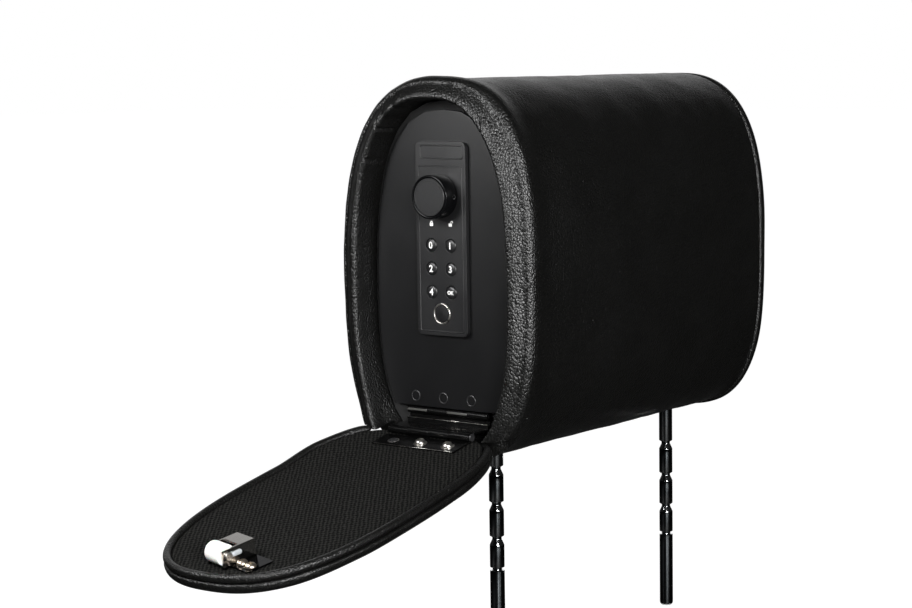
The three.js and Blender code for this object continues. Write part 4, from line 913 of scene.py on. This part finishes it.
path = outline(COVER_SHAPE, COVER_INSET + PIPING + 0.1, 512)
lowest = int(np.argmin(path[:, 1]))
path = np.roll(path, -lowest, axis=0)
path = path[path[:, 1] > 4.0][::2]
tangents = np.gradient(path, axis=0)
tangents /= np.linalg.norm(tangents, axis=1)[:, None]
sides = np.column_stack([tangents[:, 1], -tangents[:, 0]])
angles = turns(18)
rings = []
for k, (point, side) in enumerate(zip(path, sides)):
    end = min(k, len(path) - 1 - k)
    radius = PIPING * (0.55, 0.8, 0.93)[end] if end < 3 else PIPING
    rings.append(np.column_stack([
        LINING_FACE - 0.3 + radius * np.sin(angles),
        point[0] + radius * np.cos(angles) * side[0], point[1] + radius * np.cos(angles) * side[1],
    ]))
piping = skin("cover_piping_leather", rings, leather, place_it=COVER)
corner_curl(piping)
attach(piping, "cover")
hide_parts("cover_piping")

# Lining of the cover: black ribbed polyester cloth glued to the board and tucked under the
# piping. Coarse warp-knit cloth: rows of small raised loops, matt, with paler tips.
RIB_MM, LOOP_MM = 2.5, 3.4
knit, tree, shader, place = start_material(
    "ribbed_black_polyester_knit", Roughness=0.95, Specular_IOR_Level=0.12)
turn = add(tree, "Mapping", {"Vector": place, "Rotation": (0, 0, math.radians(-36))})
wobble = cloudy(tree, turn, 260.0)
nudge = calc(tree, "MULTIPLY", wobble.outputs["Color"], (0.0026, 0.0026, 0.0), kind="VectorMath")
bent = calc(tree, "ADD", turn, nudge, kind="VectorMath")
parts = add(tree, "SeparateXYZ", {0: bent})
rib = calc(tree, "MULTIPLY", parts.outputs["Y"], 2 * math.pi * 1000 / RIB_MM)
rib = calc(tree, "SINE", rib)
loop = calc(tree, "MULTIPLY", parts.outputs["X"], 2 * math.pi * 1000 / LOOP_MM)
loop = calc(tree, "SINE", loop)
weave = calc(tree, "MULTIPLY_ADD", loop, 0.7, rib)
fluff = cloudy(tree, place, 700.0)
height = add(tree, "MapRange", {0: weave, 1: -1.7, 2: 1.7, 3: 0.0, 4: 1.0})
tops = calc(tree, "MULTIPLY_ADD", fluff, 0.9, height)
tint = add(tree, "MapRange", {0: tops, 1: 0.72, 2: 1.3, 3: 0.0, 4: 1.0})
colour = tones(tree, tint, "#020202", "#252523")
pile = add(tree, "Bump", {"Strength": 1.0, "Distance": 0.0008, "Height": tops})
wire(shader, Base_Color=colour, Normal=pile)
LINING_INSET = 2 * PIPING + 0.4
LINING_EDGE = (     # X from its face, and way in from its edge
    (-1.0, 0.0), (-0.6, 0.05), (-0.3, 0.5), (-0.12, 1.2), (-0.05, 2.2), (0.0, 4), (0.0, 8), (0.0, 14),
    (0.0, 22), (0.0, 32), (0.0, 44),
)
rings = [cover_ring(LINING_FACE - 1.4, inset, 1.5 + (inset - LINING_INSET))
         for inset in (40, LINING_INSET + 0.2)]
rings += [cover_ring(LINING_FACE + x, LINING_INSET + inset, 1.5 + inset) for x, inset in LINING_EDGE]
lining = skin("cover_lining_cloth", rings, knit, place_it=COVER)
corner_curl(lining)
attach(lining, "cover")
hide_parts("cover_lining")


# Screws of the cover's hinge: one low dark head and two bright pan heads, each on a washer and
# with a cross for the driver.
def cross_screw(name, radius, height, material, place_it, body, washer=0.0, washer_material=None):
    """A pan head with a cut cross, seated on its own washer where one is given."""
    profile = [(0, height), (radius * 0.45, height * 0.96), (radius * 0.75, height * 0.78),
               (radius * 0.93, height * 0.45), (radius, height * 0.2), (radius, 0.02), (1.45, 0.0),
               (1.45, -5.0), (0, -5.0)]
    head = turned(name, profile, material, place_it, 40)
    arm, slot_half = radius * 0.62, radius * 0.13
    for one in ((arm, slot_half), (slot_half, arm)):
        blade = box_cutter("blade", (-one[0], -one[1], height * 0.35), (one[0], one[1], height + 1))
        blade.data.transform(place_it)
        carve(head, [blade])
    head.data.set_sharp_from_angle(angle=math.radians(38))
    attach(head, body)
    if washer:
        plate = [(1.6, 0.0), (1.6, -0.35), (washer, -0.35), (washer, -0.05), (washer - 0.15, 0.0)]
        disc = revolved(name + "_washer", plate, washer_material or material, place_it, 40)
        disc.data.set_sharp_from_angle(angle=math.radians(38))
        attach(disc, body)
    return head


LEAF_TOP, SLIVER_MM = LINING_FACE + 0.2 + 1.2, 0.16


def highlight_sliver(name, x, z, y0, y1, body, place_it=None):
    """A bright nickel sliver along Y on the edge of a sheet: a painted edge highlight."""
    angles = turns(8)
    xs, zs = x + SLIVER_MM * np.cos(angles), z + SLIVER_MM * np.sin(angles)
    ends = [np.column_stack([xs, np.full(8, y), zs]) for y in (y0, y1)]
    edge = skin(name, ends, satin_nickel, place_it=place_it)
    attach(edge, body)


# Painted highlights: bright slivers along the bracket's lip and the edge of the cover's leaf.
highlight_sliver("bracket_lip_edge", DOOR_FACE - 0.35, 27.15, -17.6, 49.0, "body")
highlight_sliver("cover_leaf_edge", LEAF_TOP - 0.25, 19.95, -16.5, 48.0, "cover", COVER)
OFF_LINING = Matrix(((0, 0, 1), (0, 1, 0), (-1, 0, 0))).to_4x4()
for i, (y, bright) in enumerate(((21, False), (-1.5, True), (-24, True))):
    seat_x = LEAF_TOP + (0.35 if bright else 0.05)
    seat = COVER @ Matrix.Translation((seat_x / 1000, (15.7 + y) / 1000, 0.013)) @ OFF_LINING
    seat = seat @ Matrix.Rotation(math.radians(25 + 40 * i), 4, "Z")
    if bright:
        screw = cross_screw(f"hinge_screw_{i + 1}", 3.6, 2.8, satin_nickel, seat, "cover", 4.6)
    else:
        screw = cross_screw(f"hinge_screw_{i + 1}", 3.4, 0.9, blackened, seat, "cover", 4.0, satin_nickel)
    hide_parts(f"leaf_screw_{i + 1}")

# Roller catch: a folded bracket of nickel-plated steel whose white nylon roller runs on a
# sprung pin in two slots, screwed to the cover's board through the lining.
nickel, tree, shader, place = start_material("folded_nickel_plate", Metallic=1.0)
cloud = cloudy(tree, place, 300.0, 3.0)
gloss = spread(tree, cloud, 0.1, 0.15)
tint = tones(tree, cloud, "#c8c5c1", "#d6d4d0")
CATCH = (COVER @ Matrix.Translation((LINING_FACE / 1000, 0.0067, 0.1918))
         @ Matrix.Rotation(math.radians(-13), 4, "X"))
ROLLER_UP, CATCH_REACH = 7.7, 19.3
# The foot that lies on the cloth is painted darker than the cheeks that stand up from it: a painted dark
# reflection.
above = calc(tree, "SUBTRACT", place, CATCH.translation, kind="VectorMath")
above = calc(tree, "DOT_PRODUCT", above, CATCH.col[0].xyz, kind="VectorMath")
foot = add(tree, "MapRange", {0: above.outputs["Value"], 1: 0.0014, 2: 0.0022, 3: 0.0, 4: 1.0})
tint = add(tree, "MixRGB", {0: foot, 1: linear("#26262a"), 2: tint})
wire(shader, Roughness=gloss, Base_Color=tint)
dress("catch_bracket", nickel, 0.35, 3)
dress("catch_spindle", satin_nickel, 0.2, 2)
milled = mottled("milled_steel_pin_flat", 500.0, "#aeb4b8", "#c4c9cc", detail=1.0,
                 Metallic=0.15, Roughness=0.35)
nylon = mottled("white_nylon", 180.0, "#eeeeea", "#f8f8f5", Roughness=0.38, IOR=1.53,
                Subsurface_Weight=0.15, Subsurface_Scale=0.002)
half = 6.95
profile = [(1.95, -half + 0.5), (2.6, -half), (5.6, -half), (6.1, -half + 0.15), (6.42, -half + 0.45),
           (6.5, -half + 0.9), (6.5, half - 0.9), (6.42, half - 0.45), (6.1, half - 0.15), (5.6, half),
           (2.6, half), (1.95, half - 0.5)]
roller_place = (CATCH @ Matrix.Translation((ROLLER_UP / 1000, 0, CATCH_REACH / 1000))
                @ Matrix.Rotation(math.pi / 2, 4, "X"))
roller = revolved("nylon_roller", profile, nylon, roller_place, 64)
roller.data.set_sharp_from_angle(angle=math.radians(40))
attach(roller, "roller")
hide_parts("catch_roller")
chromated = mottled("yellow_chromate_zinc", 420.0, "#bdae9c", "#d8cdbf", (0.3, 0.4),
                    detail=3.0, Metallic=1.0)
bar_points = rounded_rect(9.7, 18.4, -1.5, 1.5, 1.45)
sections = [[(ROLLER_UP + v, depth, u) for u, v in bar_points] for depth in (-8.62, -9.15)]
sections.append([(ROLLER_UP + 0.82 * v, -9.45, 14.05 + 0.9 * (u - 14.05)) for u, v in bar_points])
bar = skin("catch_pin_guide", [np.array(one) for one in sections], milled, place_it=CATCH)
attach(bar, "catch_carriage")
for i, (y, z) in enumerate(((-13, 13.5), (-21.5, 13.5))):
    seat = CATCH @ Matrix.Translation((1.65 / 1000, y / 1000, z / 1000)) @ OFF_LINING
    seat = seat @ Matrix.Rotation(math.radians(15 + 50 * i), 4, "Z")
    screw = cross_screw(f"bracket_screw_{i + 1}", 3.5, 2.6, chromated, seat, "cover")
    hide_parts(f"catch_screw_{i + 1}")
